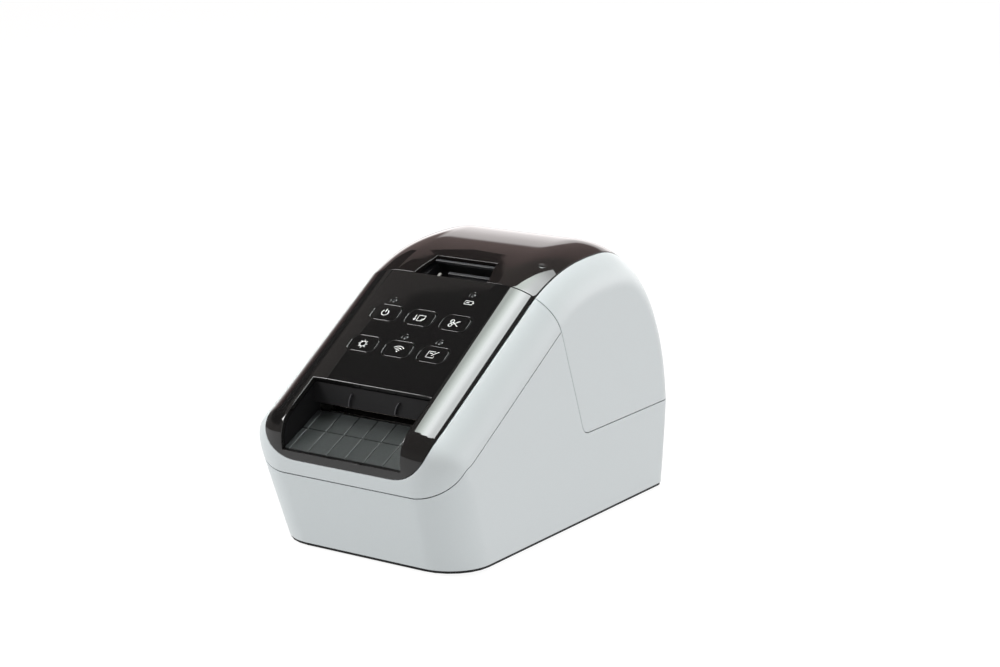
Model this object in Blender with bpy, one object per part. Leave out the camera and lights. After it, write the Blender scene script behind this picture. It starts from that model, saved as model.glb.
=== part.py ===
"""Desktop thermal label printer, closed, as separate named pieces.

The origin is under the middle of the body on the surface it stands on. +X is the right-hand side seen from
the front, the label outlet faces -Y and +Z is up. Sizes inside the functions are in millimetres, in a design
frame whose Y zero is midway along the body. `to_world` turns them into metres.
"""
import math

import bmesh
import bpy
from mathutils import Vector

# Driving dimensions, millimetres
MM = 0.001
DESIGN_Y = 1.44             # the object's own centre, in the design frame's Y
HALF_WIDTH = 62.65
FOOT_INSET = 2.65           # the side walls lean in by this much at the bottom
LEAN_TOP = 60.0             # height where the side walls become upright
CASE_BOTTOM = 2.4
FRONT_SEAM = (-106.5, 43.0)
BACK_Y = 106.0
CASE_LEAN = 0.366           # how far the front leans out for each millimetre of height
CORNER_R = 23.5
REAR_CORNER_R = 8.0
WALL = 2.2                  # thickness of the outer shells
GAP_W = 0.4                 # gap between neighbouring shells
FIT = 0.3                   # gap between a piece and what it rests on

# The skin's centre line
SLOPE = math.radians(32.17)
ALONG = (math.cos(SLOPE), math.sin(SLOPE))
GAP = (-15.73, 131.66)
SLOPE_START = -103.0
FRONT_LEAN = math.radians(20.1)
FRONT_HANDLES = (14.0, 14.0)
CREST = (46.0, 144.8)
REAR_END = (107.0, 48.0)
LID_START_ANGLE = math.radians(25.0)
REAR_ANGLE = math.radians(-82.0)
LID_HANDLES = (20.0, 30.0)
REAR_HANDLES = (40.0, 46.0)
SHOULDER_A = 32.0
SHOULDER_B = 23.5
REAR_R = 9.0
FOOT_START = -62.0          # side wall columns: the first one's Y at the bottom
KNEE_START = -81.0          # and at the front seam's height
FOOT_STEP = 2.0

# Seams
EDGE_X = 50.8               # half width of the glossy panel and of the window
SEAM_RISE = 15.5            # rise of the front seam round the corner
LID_SEAM_LEAN = math.radians(21.0)
LID_BOTTOM = 50.0
LID_SEAM_R = 7.0
PANEL_BOTTOM = 51.7
PANEL_CORNER_X = 29.3
PANEL_CORNER_R = 21.5
WINDOW_END = 3.78           # where the window ends on the rear, along the skin
LID_END = 3.975

# Label outlet
OUTLET_X = 36.5
OUTLET_TOP = -81.3
OUTLET_SILL = 56.4
TRAY_FRONT = (-110.0, 56.6)
TRAY_REAR = (-80.9, 70.2)
TRAY_THICKNESS = 2.0
GROOVE_PITCH = 11.45
GROOVE_SHIFT = 1.6
SLOT_HEIGHT = 5.4

# Keys
KEY_PITCH = 21.5
KEY_ROWS = (-31.1, -54.2)
KEY_HALF = (8.0, 5.4)
KEY_TRAVEL = 0.6
KEY_NAMES = (("power_button", "feed_button", "cut_button"),
             ("setup_button", "wireless_button", "editor_button"))
LED_R = 1.45
LED_PLACES = ((-22.3, -21.5), (-0.8, -45.2), (20.6, -45.2), (20.2, -10.0))

# Drive: axes in the Y-Z plane, teeth and module
MODULE = 0.75
PLATEN_AXIS = (-60.0, 62.0)
PLATEN_R = 6.5
PLATEN_TEETH = 24
IDLER_TEETH = 30
PINION_TEETH = 12
IDLER_DIRECTION = math.radians(-50.0)
PINION_DIRECTION = math.radians(-20.0)
GEAR_X = (47.0, 50.5)
MESH_SLACK = 0.12
CHASSIS_X = (44.0, 46.0)
CRANK_AXIS = (-66.0, 74.0)
CRANK_THROW = 6.0
HEAD_PIVOT = (-38.0, 84.0)

# Lid hinge, behind the rear wall
HINGE = (110.6, 49.8)
HINGE_SHAFT_R = 1.6
HINGE_R = 3.2
HINGE_ARM_X = (30.0, 38.0)
HINGE_POSTS = ((25.0, 29.0), (39.0, 43.0))

# Case fixings and rear ports
BOSS = (54.0, (-70.0, 85.0))
BOSS_R = 5.0
SCREW_R = 1.3
FOOT_AT = (44.0, (-79.0, 94.0))
FOOT_R = 5.5
USB_AT, USB_SIZE = (30.0, 20.0), (9.4, 4.2)
INLET_AT, INLET_SIZE = (-30.0, 20.0), (20.0, 14.0)
KEY_BOARD_DEPTH = 7.2
RECESS_X = 20.0
RECESS_DEPTH = 13.0
RECESS_END = 20.3
NOTCH = (22.5, 19.0, 17.2)  # half width at the mouth and at the inner end, and length

# Roll compartment
ROLL_CENTRE = (44.0, 80.0)
ROLL_R = 50.0
CRADLE_X = 41.0
DECK_Z = 46.0

COLOURS = {
    "silver": ((0.62, 0.65, 0.66), 0.38, 0.0),
    "gloss_black": ((0.012, 0.012, 0.013), 0.06, 0.0),
    "smoke": ((0.035, 0.022, 0.018), 0.05, 0.0),
    "black": ((0.02, 0.02, 0.022), 0.45, 0.0),
    "charcoal": ((0.045, 0.048, 0.048), 0.6, 0.0),
    "rubber": ((0.015, 0.015, 0.015), 0.85, 0.0),
    "steel": ((0.55, 0.55, 0.56), 0.3, 1.0),
    "gear": ((0.78, 0.77, 0.72), 0.5, 0.0),
    "board": ((0.02, 0.14, 0.06), 0.5, 0.0),
    "ceramic": ((0.75, 0.72, 0.66), 0.3, 0.0),
    "light": ((0.85, 0.87, 0.88), 0.2, 0.0),
}


# ---------------------------------------------------------------- materials and meshes

def material(name):
    found = bpy.data.materials.get(name)
    if found:
        return found
    colour, roughness, metallic = COLOURS[name]
    made = bpy.data.materials.new(name)
    made.use_nodes = True
    shader = made.node_tree.nodes["Principled BSDF"]
    shader.inputs["Base Color"].default_value = (*colour, 1.0)
    shader.inputs["Roughness"].default_value = roughness
    shader.inputs["Metallic"].default_value = metallic
    return made


def to_world(point):
    x, y, z = point
    return Vector((x * MM, (y - DESIGN_Y) * MM, z * MM))


def make_object(name, points, faces, material_name):
    """A closed mesh from points in design millimetres, coincident points welded and empty faces dropped."""
    ids = {}
    welded = []
    index = []
    used = {i for face in faces for i in face}
    for i, point in enumerate(points):
        if i not in used:
            index.append(None)
            continue
        key = tuple(round(c, 4) for c in point)
        if key not in ids:
            ids[key] = len(welded)
            welded.append(to_world(point))
        index.append(ids[key])
    kept = []
    for face in faces:
        ring = [index[i] for i in face]
        ring = [v for k, v in enumerate(ring) if v != ring[k - 1]]
        if len(set(ring)) >= 3:
            kept.append(ring)
    mesh = bpy.data.meshes.new(name)
    mesh.from_pydata(welded, [], kept)
    work = bmesh.new()
    work.from_mesh(mesh)
    bmesh.ops.recalc_face_normals(work, faces=work.faces)
    work.to_mesh(mesh)
    work.free()
    mesh.materials.append(material(material_name))
    made = bpy.data.objects.new(name, mesh)
    bpy.context.scene.collection.objects.link(made)
    return made


def shell(name, outer, inner, material_name, present=None, wrap=False):
    """A closed shell between two point grids; `present(i, j)` says which cells exist."""
    rows, columns = len(outer), len(outer[0])
    points = [p for row in outer for p in row] + [p for row in inner for p in row]
    lift = rows * columns
    last = columns if wrap else columns - 1
    cells = {(i, j) for i in range(rows - 1) for j in range(last) if present is None or present(i, j)}

    def corner(i, j):
        return i * columns + j % columns

    faces = []
    for i, j in sorted(cells):
        quad = [corner(i, j), corner(i, j + 1), corner(i + 1, j + 1), corner(i + 1, j)]
        faces.append(quad)
        faces.append([v + lift for v in reversed(quad)])
        across = (i, (j + 1) % columns if wrap else j + 1)
        before = (i, (j - 1) % columns if wrap else j - 1)
        sides = (((i - 1, j), 0, 1), (across, 1, 2), ((i + 1, j), 2, 3), (before, 3, 0))
        for neighbour, a, b in sides:
            if neighbour not in cells:
                faces.append([quad[b], quad[a], quad[a] + lift, quad[b] + lift])
    return make_object(name, points, faces, material_name)


def prism(name, outline, low, high, axis, material_name):
    """An outline extruded along an axis: X takes (y, z) outlines, Y takes (x, z) and Z takes (x, y)."""
    def point(a, b, c):
        return {"X": (c, a, b), "Y": (a, c, b), "Z": (a, b, c)}[axis]
    count = len(outline)
    points = [point(a, b, low) for a, b in outline] + [point(a, b, high) for a, b in outline]
    faces = [[k, (k + 1) % count, (k + 1) % count + count, k + count] for k in range(count)]
    faces.append(list(range(count))[::-1])
    faces.append(list(range(count, 2 * count)))
    return make_object(name, points, faces, material_name)


def box(name, x, y, z, material_name):
    outline = [(x[0], y[0]), (x[1], y[0]), (x[1], y[1]), (x[0], y[1])]
    return prism(name, outline, z[0], z[1], "Z", material_name)


def circle(centre, radius, count=20, start=0.0, turn=2.0 * math.pi):
    return [(centre[0] + radius * math.cos(start + turn * k / count),
             centre[1] + radius * math.sin(start + turn * k / count)) for k in range(count)]


def rod(name, centre, radius, low, high, axis, material_name, count=20):
    return prism(name, circle(centre, radius, count), low, high, axis, material_name)


def boolean(target, tool, operation):
    """Applies one exact Boolean and removes the tool."""
    modifier = target.modifiers.new("cut", "BOOLEAN")
    modifier.operation = operation
    modifier.solver = "EXACT"
    modifier.object = tool
    graph = bpy.context.evaluated_depsgraph_get()
    result = bpy.data.meshes.new_from_object(target.evaluated_get(graph))
    target.modifiers.clear()
    target.data = result
    bpy.data.objects.remove(tool)


def join_on(target, *tools):
    for tool in tools:
        boolean(target, tool, "UNION")


def cut_from(target, *tools):
    for tool in tools:
        boolean(target, tool, "DIFFERENCE")


def put_origin(made, point):
    """Moves an object's origin to a design point, leaving its shape in place."""
    origin = to_world(point)
    for vertex in made.data.vertices:
        vertex.co -= origin
    made.location = origin


# ---------------------------------------------------------------- the skin

def smooth(u):
    u = min(max(u, 0.0), 1.0)
    return u * u * (3.0 - 2.0 * u)


def mix(a, b, u):
    return a + (b - a) * u


def bezier(handles, u):
    v = 1.0 - u
    weights = (v ** 3, 3.0 * v * v * u, 3.0 * v * u * u, u ** 3)
    return tuple(sum(w * h[k] for w, h in zip(weights, handles)) for k in range(2))


def on_slope(s, depth=0.0):
    """A point (y, z) on the sloping front, s along it from the lid gap and depth under it."""
    return (GAP[0] + s * ALONG[0] + depth * ALONG[1], GAP[1] + s * ALONG[1] - depth * ALONG[0])


def step(point, angle, length):
    return (point[0] + length * math.cos(angle), point[1] + length * math.sin(angle))


SLOPE_FOOT = on_slope(SLOPE_START)
FRONT_CURVE = (FRONT_SEAM, step(FRONT_SEAM, math.pi / 2 + FRONT_LEAN, FRONT_HANDLES[0]),
               step(SLOPE_FOOT, SLOPE, -FRONT_HANDLES[1]), SLOPE_FOOT)
LID_CURVE = (GAP, step(GAP, LID_START_ANGLE, LID_HANDLES[0]), (CREST[0] - LID_HANDLES[1], CREST[1]), CREST)
REAR_CURVE = (CREST, (CREST[0] + REAR_HANDLES[0], CREST[1]),
              step(REAR_END, REAR_ANGLE, -REAR_HANDLES[1]), REAR_END)


def centre(t):
    """The skin's centre line: 0 to 1 front bulge, 1 to 2 slope, 2 to 3 lid front, 3 to 4 lid rear."""
    if t <= 1.0:
        return bezier(FRONT_CURVE, t)
    if t <= 2.0:
        return on_slope(SLOPE_START * (2.0 - t))
    if t <= 3.0:
        return bezier(LID_CURVE, t - 2.0)
    return bezier(REAR_CURVE, t - 3.0)


def heading(t):
    low, high = (0.0, 2.0) if t <= 2.0 else (2.0 + 1e-6, 4.0)
    a = centre(max(t - 1e-4, low))
    b = centre(min(t + 1e-4, high))
    return math.atan2(b[1] - a[1], b[0] - a[0])


def drop_angle(t):
    """The direction in which the shoulders fall away from the centre line."""
    if t <= 2.0:
        return mix(0.0, SLOPE - math.pi / 2, min(max((t - 0.08) / 1.06, 0.0), 1.0))
    return mix(SLOPE - math.pi / 2, heading(t) - math.pi / 2, smooth((t - 2.0) / 0.5))


def rounding(t):
    """The half axes of the shoulder's elliptical section, across and down."""
    if t <= 3.0:
        return mix(CORNER_R, SHOULDER_A, smooth((t - 0.1) / 1.1)), SHOULDER_B
    u = smooth((t - 3.0) / 0.85)
    return mix(SHOULDER_A, REAR_R, u), mix(SHOULDER_B, REAR_R, u)


def half_width(z):
    return HALF_WIDTH - FOOT_INSET * (max(LEAN_TOP - z, 0.0) / (LEAN_TOP - 2.0)) ** 1.6


def across(t, x):
    """The skin's cross coordinate at a given x."""
    a = rounding(t)[0]
    flat = HALF_WIDTH - a
    if abs(x) <= flat:
        return x
    return math.copysign(flat + a * math.asin(min((abs(x) - flat) / a, 1.0)), x)


def side(t):
    """The cross coordinate where the shoulder meets the side wall."""
    a = rounding(t)[0]
    return HALF_WIDTH - a + a * math.pi / 2


def skin(t, w):
    a, b = rounding(t)
    flat = HALF_WIDTH - a
    turn = max(abs(w) - flat, 0.0) / a
    drop = b * (1.0 - math.cos(turn))
    angle = drop_angle(t)
    y, z = centre(t)
    y += drop * math.cos(angle)
    z += drop * math.sin(angle)
    x = (min(abs(w), flat) + a * math.sin(turn)) * half_width(z) / HALF_WIDTH
    return (math.copysign(x, w), y, z)


def under(t, w, depth):
    """A point at a depth under the skin, along the skin's own normal."""
    e = 1e-3
    low, high = (-0.2, 2.0) if t <= 2.0 else (2.0 + 1e-6, 4.0)
    t1, t2 = max(t - e, low), min(t + e, high)
    w1, w2 = max(w - 0.05, -side(t)), min(w + 0.05, side(t))
    along = Vector(skin(t2, w)) - Vector(skin(t1, w))
    cross = Vector(skin(t, w2)) - Vector(skin(t, w1))
    normal = cross.cross(along).normalized()
    return tuple(Vector(skin(t, w)) - depth * normal)


def solve(low, high, above):
    """The parameter between low and high where above() turns true."""
    for _ in range(40):
        middle = (low + high) / 2.0
        if above(middle):
            high = middle
        else:
            low = middle
    return (low + high) / 2.0


def past_lid_seam(point, offset=0.0):
    """How far a point lies behind the lid's sloping front seam."""
    dy = point[1] - GAP[0]
    dz = point[2] - GAP[1]
    return dy * math.cos(LID_SEAM_LEAN) + dz * math.sin(LID_SEAM_LEAN) - offset


def seam_t(w_of_t, offset):
    """Where a line of the skin crosses the lid's front seam."""
    return solve(1.6, 2.6, lambda t: past_lid_seam(skin(t, w_of_t(t)), offset) > 0.0)


def grid_on_skin(rows, depth_outer, depth_inner):
    """Outer and inner point grids from rows of (t, w) pairs."""
    outer = [[under(t, w, depth_outer) for t, w in row] for row in rows]
    inner = [[under(t, w, depth_inner) for t, w in row] for row in rows]
    return outer, inner


def spread(low, high, count):
    return [mix(low, high, k / count) for k in range(count + 1)]


# ---------------------------------------------------------------- case, frame and panel

def at_turn(t, turn):
    """The cross coordinate a given angle round the shoulder."""
    a = rounding(t)[0]
    return HALF_WIDTH - a + a * turn


def corner_seam_t(turn, offset):
    """Where the seam between case and frame crosses the front corner, at an angle round it."""
    level = FRONT_SEAM[1] + SEAM_RISE * (1.0 - math.cos(turn)) + offset
    return solve(-0.1, 1.3, lambda t: skin(t, at_turn(t, turn))[2] > level)


def lid_seam_corner(offset, count=4):
    """The rounded lower front corner of the lid's side seam, as (y, z)."""
    reach = LID_SEAM_R * math.tan((math.pi / 2 - LID_SEAM_LEAN) / 2)
    knee_y = GAP[0] + (GAP[1] - LID_BOTTOM) * math.tan(LID_SEAM_LEAN)
    middle = (knee_y + reach, LID_BOTTOM + LID_SEAM_R)
    start = math.pi + LID_SEAM_LEAN
    turns = [mix(start, 1.5 * math.pi, k / count) for k in range(count + 1)]
    return [step(middle, turn, LID_SEAM_R - offset) for turn in turns]


def case_stations():
    """The case wall's right-hand columns, front to back: each maps 0..1 to a point, and has a plan normal."""
    stations = []
    low_gap = -GAP_W / 2

    def plan_corner(z, turn):
        wide = half_width(z) - CORNER_R
        front = FRONT_SEAM[0] + CASE_LEAN * (FRONT_SEAM[1] - z) + CORNER_R
        return (wide + CORNER_R * math.sin(turn), front - CORNER_R * math.cos(turn), z)

    def front(x):
        def at(v):
            z = mix(CASE_BOTTOM, FRONT_SEAM[1] + low_gap, v)
            return (x, FRONT_SEAM[0] + CASE_LEAN * (FRONT_SEAM[1] - z), z)
        return at

    def corner(turn):
        top = corner_seam_t(turn, low_gap)

        def at(v):
            if top <= 0.0:
                return plan_corner(mix(CASE_BOTTOM, FRONT_SEAM[1] + low_gap, v), turn)
            if v <= 0.6:
                return plan_corner(mix(CASE_BOTTOM, FRONT_SEAM[1], v / 0.6), turn)
            t = mix(0.0, top, (v - 0.6) / 0.4)
            return skin(t, at_turn(t, turn))
        return at

    def side_wall(foot_y, head_y, head_z, knee_y):
        def at(v):
            if v <= 0.6:
                z = mix(CASE_BOTTOM, FRONT_SEAM[1], v / 0.6)
                return (half_width(z), mix(foot_y, knee_y, v / 0.6), z)
            z = mix(FRONT_SEAM[1], head_z, (v - 0.6) / 0.4)
            return (half_width(z), mix(knee_y, head_y, (v - 0.6) / 0.4), z)
        return at

    for x in (0.0, 30.0):
        stations.append((front(x), (0.0, -1.0)))
    for turn in spread(0.0, math.pi / 2, 6):
        stations.append((corner(turn), (math.sin(turn), -math.cos(turn))))
    heads = []
    first = corner_seam_t(math.pi / 2, low_gap)
    last = seam_t(side, low_gap)
    for t in spread(first, last, 6)[1:]:
        y, z = skin(t, side(t))[1:]
        angle = drop_angle(t)
        heads.append((y - low_gap * math.cos(angle), z - low_gap * math.sin(angle)))
    peak = heads[-1]
    seam = lid_seam_corner(low_gap)
    heads.append((mix(peak[0], seam[0][0], 0.5), mix(peak[1], seam[0][1], 0.5)))
    heads.extend(seam)
    heads.append((60.0, LID_BOTTOM + low_gap))
    for k, (y, z) in enumerate(heads):
        foot_y = max(y, FOOT_STEP * k + FOOT_START)
        knee_y = max(y, FOOT_STEP * k + KNEE_START)
        stations.append((side_wall(foot_y, y, z, knee_y), (1.0, 0.0)))

    def rear_corner(turn):
        def at(v):
            z = mix(CASE_BOTTOM, LID_BOTTOM + low_gap, v)
            middle = (half_width(z) - REAR_CORNER_R, BACK_Y - REAR_CORNER_R)
            return (*step(middle, turn, REAR_CORNER_R), z)
        return at

    for turn in spread(0.0, math.pi / 2, 3):
        stations.append((rear_corner(turn), (math.cos(turn), math.sin(turn))))
    return stations


def make_lower_case():
    right = case_stations()
    levels = (0.0, 0.3, 0.6, 0.8, 1.0)
    outer, inner = [], []
    for v in levels:
        row, back = [], []
        for sign in (1, -1):
            for at, (nx, ny) in (right if sign == 1 else right[:0:-1]):
                x, y, z = at(v)
                row.append((sign * x, y, z))
                back.append((sign * (x - WALL * nx), y - WALL * ny, z))
        outer.append(row)
        inner.append(back)
    case = shell("lower_case", outer, inner, "silver", wrap=True)
    for x in (-BOSS[0], BOSS[0]):
        for y in BOSS[1]:
            join_on(case, rod("boss", (x, y), BOSS_R, CASE_BOTTOM + 1.5, 16.0, "Z", "silver"))
            cut_from(case, rod("bore", (x, y), SCREW_R + FIT, 0.0, 14.0, "Z", "silver", 12))
    for (x, z), (wide, high) in ((USB_AT, USB_SIZE), (INLET_AT, INLET_SIZE)):
        cut_from(case, box("hole", (x - wide / 2 - FIT, x + wide / 2 + FIT), (100.0, 112.0),
                           (z - high / 2 - FIT, z + high / 2 + FIT), "silver"))


def panel_half_width(z):
    """Half width of the panel's outline at a height on its rounded lower end."""
    rise = PANEL_BOTTOM + PANEL_CORNER_R - z
    if rise <= 0.0:
        return EDGE_X
    return PANEL_CORNER_X + math.sqrt(max(PANEL_CORNER_R ** 2 - rise ** 2, 0.0))


def edge_t(x, z):
    """Where the skin at a given x reaches a given height."""
    return solve(-0.1, 1.5, lambda t: skin(t, across(t, x))[2] > z)


def frame_rows():
    """Right half of the front frame as pairs of (t, w) ends: the panel's edge, then the case seam."""
    half = GAP_W / 2
    pairs = []
    inner_line = lambda t: across(t, EDGE_X + half)
    outer_line = lambda t: side(t) - half
    first = (seam_t(inner_line, -half), seam_t(outer_line, -half))
    pairs.append(((first[0], inner_line(first[0])), (first[1], outer_line(first[1]))))
    for t in (1.7, 1.45, 1.2):
        pairs.append(((t, inner_line(t)), (t, outer_line(t))))
    bend = edge_t(EDGE_X + half, PANEL_BOTTOM + PANEL_CORNER_R)
    seam_end = corner_seam_t(math.pi / 2, half)
    for k in (0.5, 1.0):
        t_in, t_out = mix(1.2, bend, k), mix(1.2, seam_end + 0.05, k)
        pairs.append(((t_in, inner_line(t_in)), (t_out, outer_line(t_out))))
    count = 7
    for k in range(1, count + 1):
        turn = 0.5 * math.pi * k / count
        x = PANEL_CORNER_X + (PANEL_CORNER_R + half) * math.cos(turn)
        z = PANEL_BOTTOM + PANEL_CORNER_R - (PANEL_CORNER_R + half) * math.sin(turn)
        t_in = edge_t(x, z)
        round_corner = 0.5 * math.pi * (1.0 - k / count)
        t_out = corner_seam_t(round_corner, half)
        pairs.append(((t_in, across(t_in, x)), (t_out, at_turn(t_out, round_corner))))
    t_in = edge_t(0.0, PANEL_BOTTOM - half)
    t_out = corner_seam_t(0.0, half)
    pairs.append(((t_in, 0.0), (t_out, 0.0)))
    return pairs


def make_front_frame():
    columns = 4
    half = []
    for k, (inside, outside) in enumerate(frame_rows()):
        row = [(mix(inside[0], outside[0], c / columns), mix(inside[1], outside[1], c / columns))
               for c in range(columns + 1)]
        if k == 0:
            row = [(seam_t(lambda t, w=w: w, -GAP_W / 2), w) for _, w in row]
        half.append(row)
    other = [[(t, -w) for t, w in row] for row in half[-2::-1]]
    outer, inner = grid_on_skin(half + other, 0.0, WALL)
    shell("front_frame", outer, inner, "silver")


def seam_row(xs, offset):
    """The (t, w) pairs along the lid's front seam at the given x positions."""
    ends = [seam_t(lambda t, x=x: across(t, x), offset) for x in xs]
    return [(t, across(t, x)) for t, x in zip(ends, xs)]


def key_columns():
    """Cross positions of the panel's grid lines: every opening edge, and a few more round the shoulders."""
    edges = [0.0]
    for k in (-1, 0, 1):
        edges += [k * KEY_PITCH - KEY_HALF[0] - FIT, k * KEY_PITCH + KEY_HALF[0] + FIT]
    edges.remove(0.0)
    wide = [OUTLET_X, 41.0, 44.5, 47.8, EDGE_X - GAP_W / 2]
    return sorted([-x for x in wide] + edges + wide)


def make_front_panel():
    xs = key_columns()
    rows = []
    marks = []
    low = [PANEL_BOTTOM + GAP_W / 2, 52.4, 54.0, OUTLET_SILL, 60.0, 64.5, 69.0,
           PANEL_BOTTOM + PANEL_CORNER_R]
    for z in low:
        limit = min(panel_half_width(z), EDGE_X - GAP_W / 2)
        t = edge_t(limit, z)
        rows.append([(t, across(t, math.copysign(min(abs(x), limit), x))) for x in xs])
        marks.append(("z", z))
    for s in (-95.0, OUTLET_TOP, -70.0, KEY_ROWS[1] - KEY_HALF[1] - FIT, KEY_ROWS[1] + KEY_HALF[1] + FIT,
              KEY_ROWS[0] - KEY_HALF[1] - FIT, KEY_ROWS[0] + KEY_HALF[1] + FIT):
        t = 2.0 - s / SLOPE_START
        rows.append([(t, across(t, x)) for x in xs])
        marks.append(("s", s))
    rows.append(seam_row(xs, -GAP_W / 2))

    def present(i, j):
        middle = (xs[j] + xs[j + 1]) / 2
        kind, value = marks[i]
        in_outlet = value >= OUTLET_SILL if kind == "z" else value < OUTLET_TOP
        if abs(middle) < OUTLET_X and in_outlet:
            return False
        for row in KEY_ROWS:
            if kind == "s" and abs(value - (row - KEY_HALF[1] - FIT)) < 1e-6:
                return all(abs(middle - k * KEY_PITCH) > KEY_HALF[0] for k in (-1, 0, 1))
        return True

    outer, inner = grid_on_skin(rows, 0.0, WALL)
    panel = shell("front_panel", outer, inner, "gloss_black", present)
    for x, s in LED_PLACES:
        reach = LED_R + FIT
        cut_from(panel, slope_block("hole", (x - reach, x + reach), (s - reach, s + reach), (-1.0, 4.0),
                                    "gloss_black", reach))


def make_keys():
    """Six key caps flush with the panel, each with a stem that reaches for its switch."""
    for row, names in zip(KEY_ROWS, KEY_NAMES):
        for k, name in zip((-1, 0, 1), names):
            x = k * KEY_PITCH
            cap = slope_block(name, (x - KEY_HALF[0], x + KEY_HALF[0]),
                              (row - KEY_HALF[1], row + KEY_HALF[1]), (0.0, 3.0), "gloss_black", 3.2)
            stem = slope_block("stem", (x - 1.5, x + 1.5), (row - 1.5, row + 1.5),
                               (2.0, KEY_BOARD_DEPTH - 1.0), "gloss_black")
            join_on(cap, stem)
            put_origin(cap, (x, *on_slope(row)))


def slope_block(name, x, s, depth, material_name, radius=0.0):
    """A block aligned with the sloping front, with rounded corners seen square on."""
    corners = [(x[1], s[1], 0.0), (x[0], s[1], 0.5), (x[0], s[0], 1.0), (x[1], s[0], 1.5)]
    outline = []
    for cx, cs, start in corners:
        if radius:
            middle = (cx - math.copysign(radius, cx - sum(x) / 2),
                      cs - math.copysign(radius, cs - sum(s) / 2))
            outline += [step(middle, math.pi * (start + k / 8.0), radius) for k in range(5)]
        else:
            outline.append((cx, cs))
    count = len(outline)
    points = [(a, *on_slope(b, d)) for d in depth for a, b in outline]
    faces = [[k, (k + 1) % count, (k + 1) % count + count, k + count] for k in range(count)]
    faces += [list(range(count))[::-1], list(range(count, 2 * count))]
    return make_object(name, points, faces, material_name)


def tray_point(u, depth=0.0):
    """A point (y, z) on the tray's sloping top, 0 at its front edge and 1 at its rear edge."""
    y = mix(TRAY_FRONT[0], TRAY_REAR[0], u)
    z = mix(TRAY_FRONT[1], TRAY_REAR[1], u)
    tilt = math.atan2(TRAY_REAR[1] - TRAY_FRONT[1], TRAY_REAR[0] - TRAY_FRONT[0])
    return (y + depth * math.sin(tilt), z - depth * math.cos(tilt))


def make_label_tray():
    """A thin sloping plate with grooves that run with the label."""
    wide = OUTLET_X - FIT
    section = [(-wide, 0.0)]
    for k in range(-3, 4):
        x = GROOVE_SHIFT + k * GROOVE_PITCH
        if abs(x) < wide - 1.0:
            section += [(x - 0.35, 0.0), (x, 0.5), (x + 0.35, 0.0)]
    section += [(wide, 0.0), (wide, TRAY_THICKNESS), (-wide, TRAY_THICKNESS)]
    count = len(section)
    points = [(x, *tray_point(u, depth)) for u in (0.08, 1.0) for x, depth in section]
    faces = [[k, (k + 1) % count, (k + 1) % count + count, k + count] for k in range(count)]
    faces += [list(range(count))[::-1], list(range(count, 2 * count))]
    make_object("label_tray", points, faces, "charcoal")


def make_outlet_housing():
    """Two side cheeks and a rear wall round the outlet. The label comes out under the rear wall."""
    inside, outside = OUTLET_X + FIT, OUTLET_X + FIT + 1.8
    deep = WALL + FIT + 0.6
    top = []
    for t in spread(edge_t(OUTLET_X, OUTLET_SILL + 1.5), 2.0 - OUTLET_TOP / SLOPE_START, 7):
        y, z = under(t, across(t, outside), deep)[1:]
        top.append((y, z))
    rear_top = on_slope(OUTLET_TOP + 3.0, deep + 0.3)
    low_front = tray_point(0.07, TRAY_THICKNESS + 1.0)
    low_rear = tray_point(1.04, TRAY_THICKNESS + 1.0)
    outline = top + [rear_top, low_rear, low_front]
    right = prism("outlet_housing", outline, inside, outside, "X", "black")
    left = prism("cheek", outline, -outside, -inside, "X", "black")
    wall_foot = tray_point(1.0, -SLOT_HEIGHT)
    front_top = on_slope(OUTLET_TOP, deep + 0.3)
    wall = prism("wall", [front_top, rear_top, (rear_top[0] + 1.0, wall_foot[1]), wall_foot],
                 -inside - 0.9, inside + 0.9, "X", "black")
    floor = prism("floor", [tray_point(0.1, TRAY_THICKNESS + FIT), tray_point(1.0, TRAY_THICKNESS + FIT),
                            tray_point(1.0, TRAY_THICKNESS + 1.0), tray_point(0.1, TRAY_THICKNESS + 1.0)],
                  -inside - 0.9, inside + 0.9, "X", "black")
    join_on(right, left, wall, floor)


def make_finger_recess():
    """The pocket under the window's notch, fixed to the body, where a fingertip lifts the lid."""
    rim = NOTCH[0] + 3.0
    xs = (-rim, -RECESS_X, -RECESS_X + 0.6, RECESS_X - 0.6, RECESS_X, rim)
    pit_end = NOTCH[2] - 1.6
    lines = ((-5.0, 2.7), (-0.5, 2.7), (0.2, RECESS_DEPTH), (pit_end, RECESS_DEPTH),
             (pit_end + 2.2, 6.0), (RECESS_END, 6.8))
    outer, inner = [], []
    for s, depth in lines:
        deep = depth > 7.0
        row, back = [], []
        for k, x in enumerate(xs):
            shelf = mix(2.7, 6.6, (s + 5.0) / (RECESS_END + 5.0))
            d = depth if deep and 1 < k < 4 else shelf
            row.append((x, *on_slope(s, d)))
            back.append((x, *on_slope(s, d + 1.6)))
        outer.append(row)
        inner.append(back)
    shell("finger_recess", outer, inner, "black")


# ---------------------------------------------------------------- base

def plan_outline(z, inset):
    """The case's rounded rectangle at a height, seen from above, drawn in by an inset."""
    wide = half_width(z) - inset
    front = FRONT_SEAM[0] + CASE_LEAN * (FRONT_SEAM[1] - z) + inset
    back = BACK_Y - inset
    outline = []
    for x, y, radius, start in ((1, front, CORNER_R, -0.5), (1, back, REAR_CORNER_R, 0.0),
                                (-1, back, REAR_CORNER_R, 0.5), (-1, front, CORNER_R, 1.0)):
        radius -= inset
        middle = (x * (wide - radius), y - math.copysign(radius, y))
        outline += [step(middle, math.pi * (start + k / 12.0), radius) for k in range(7)]
    return outline


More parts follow.
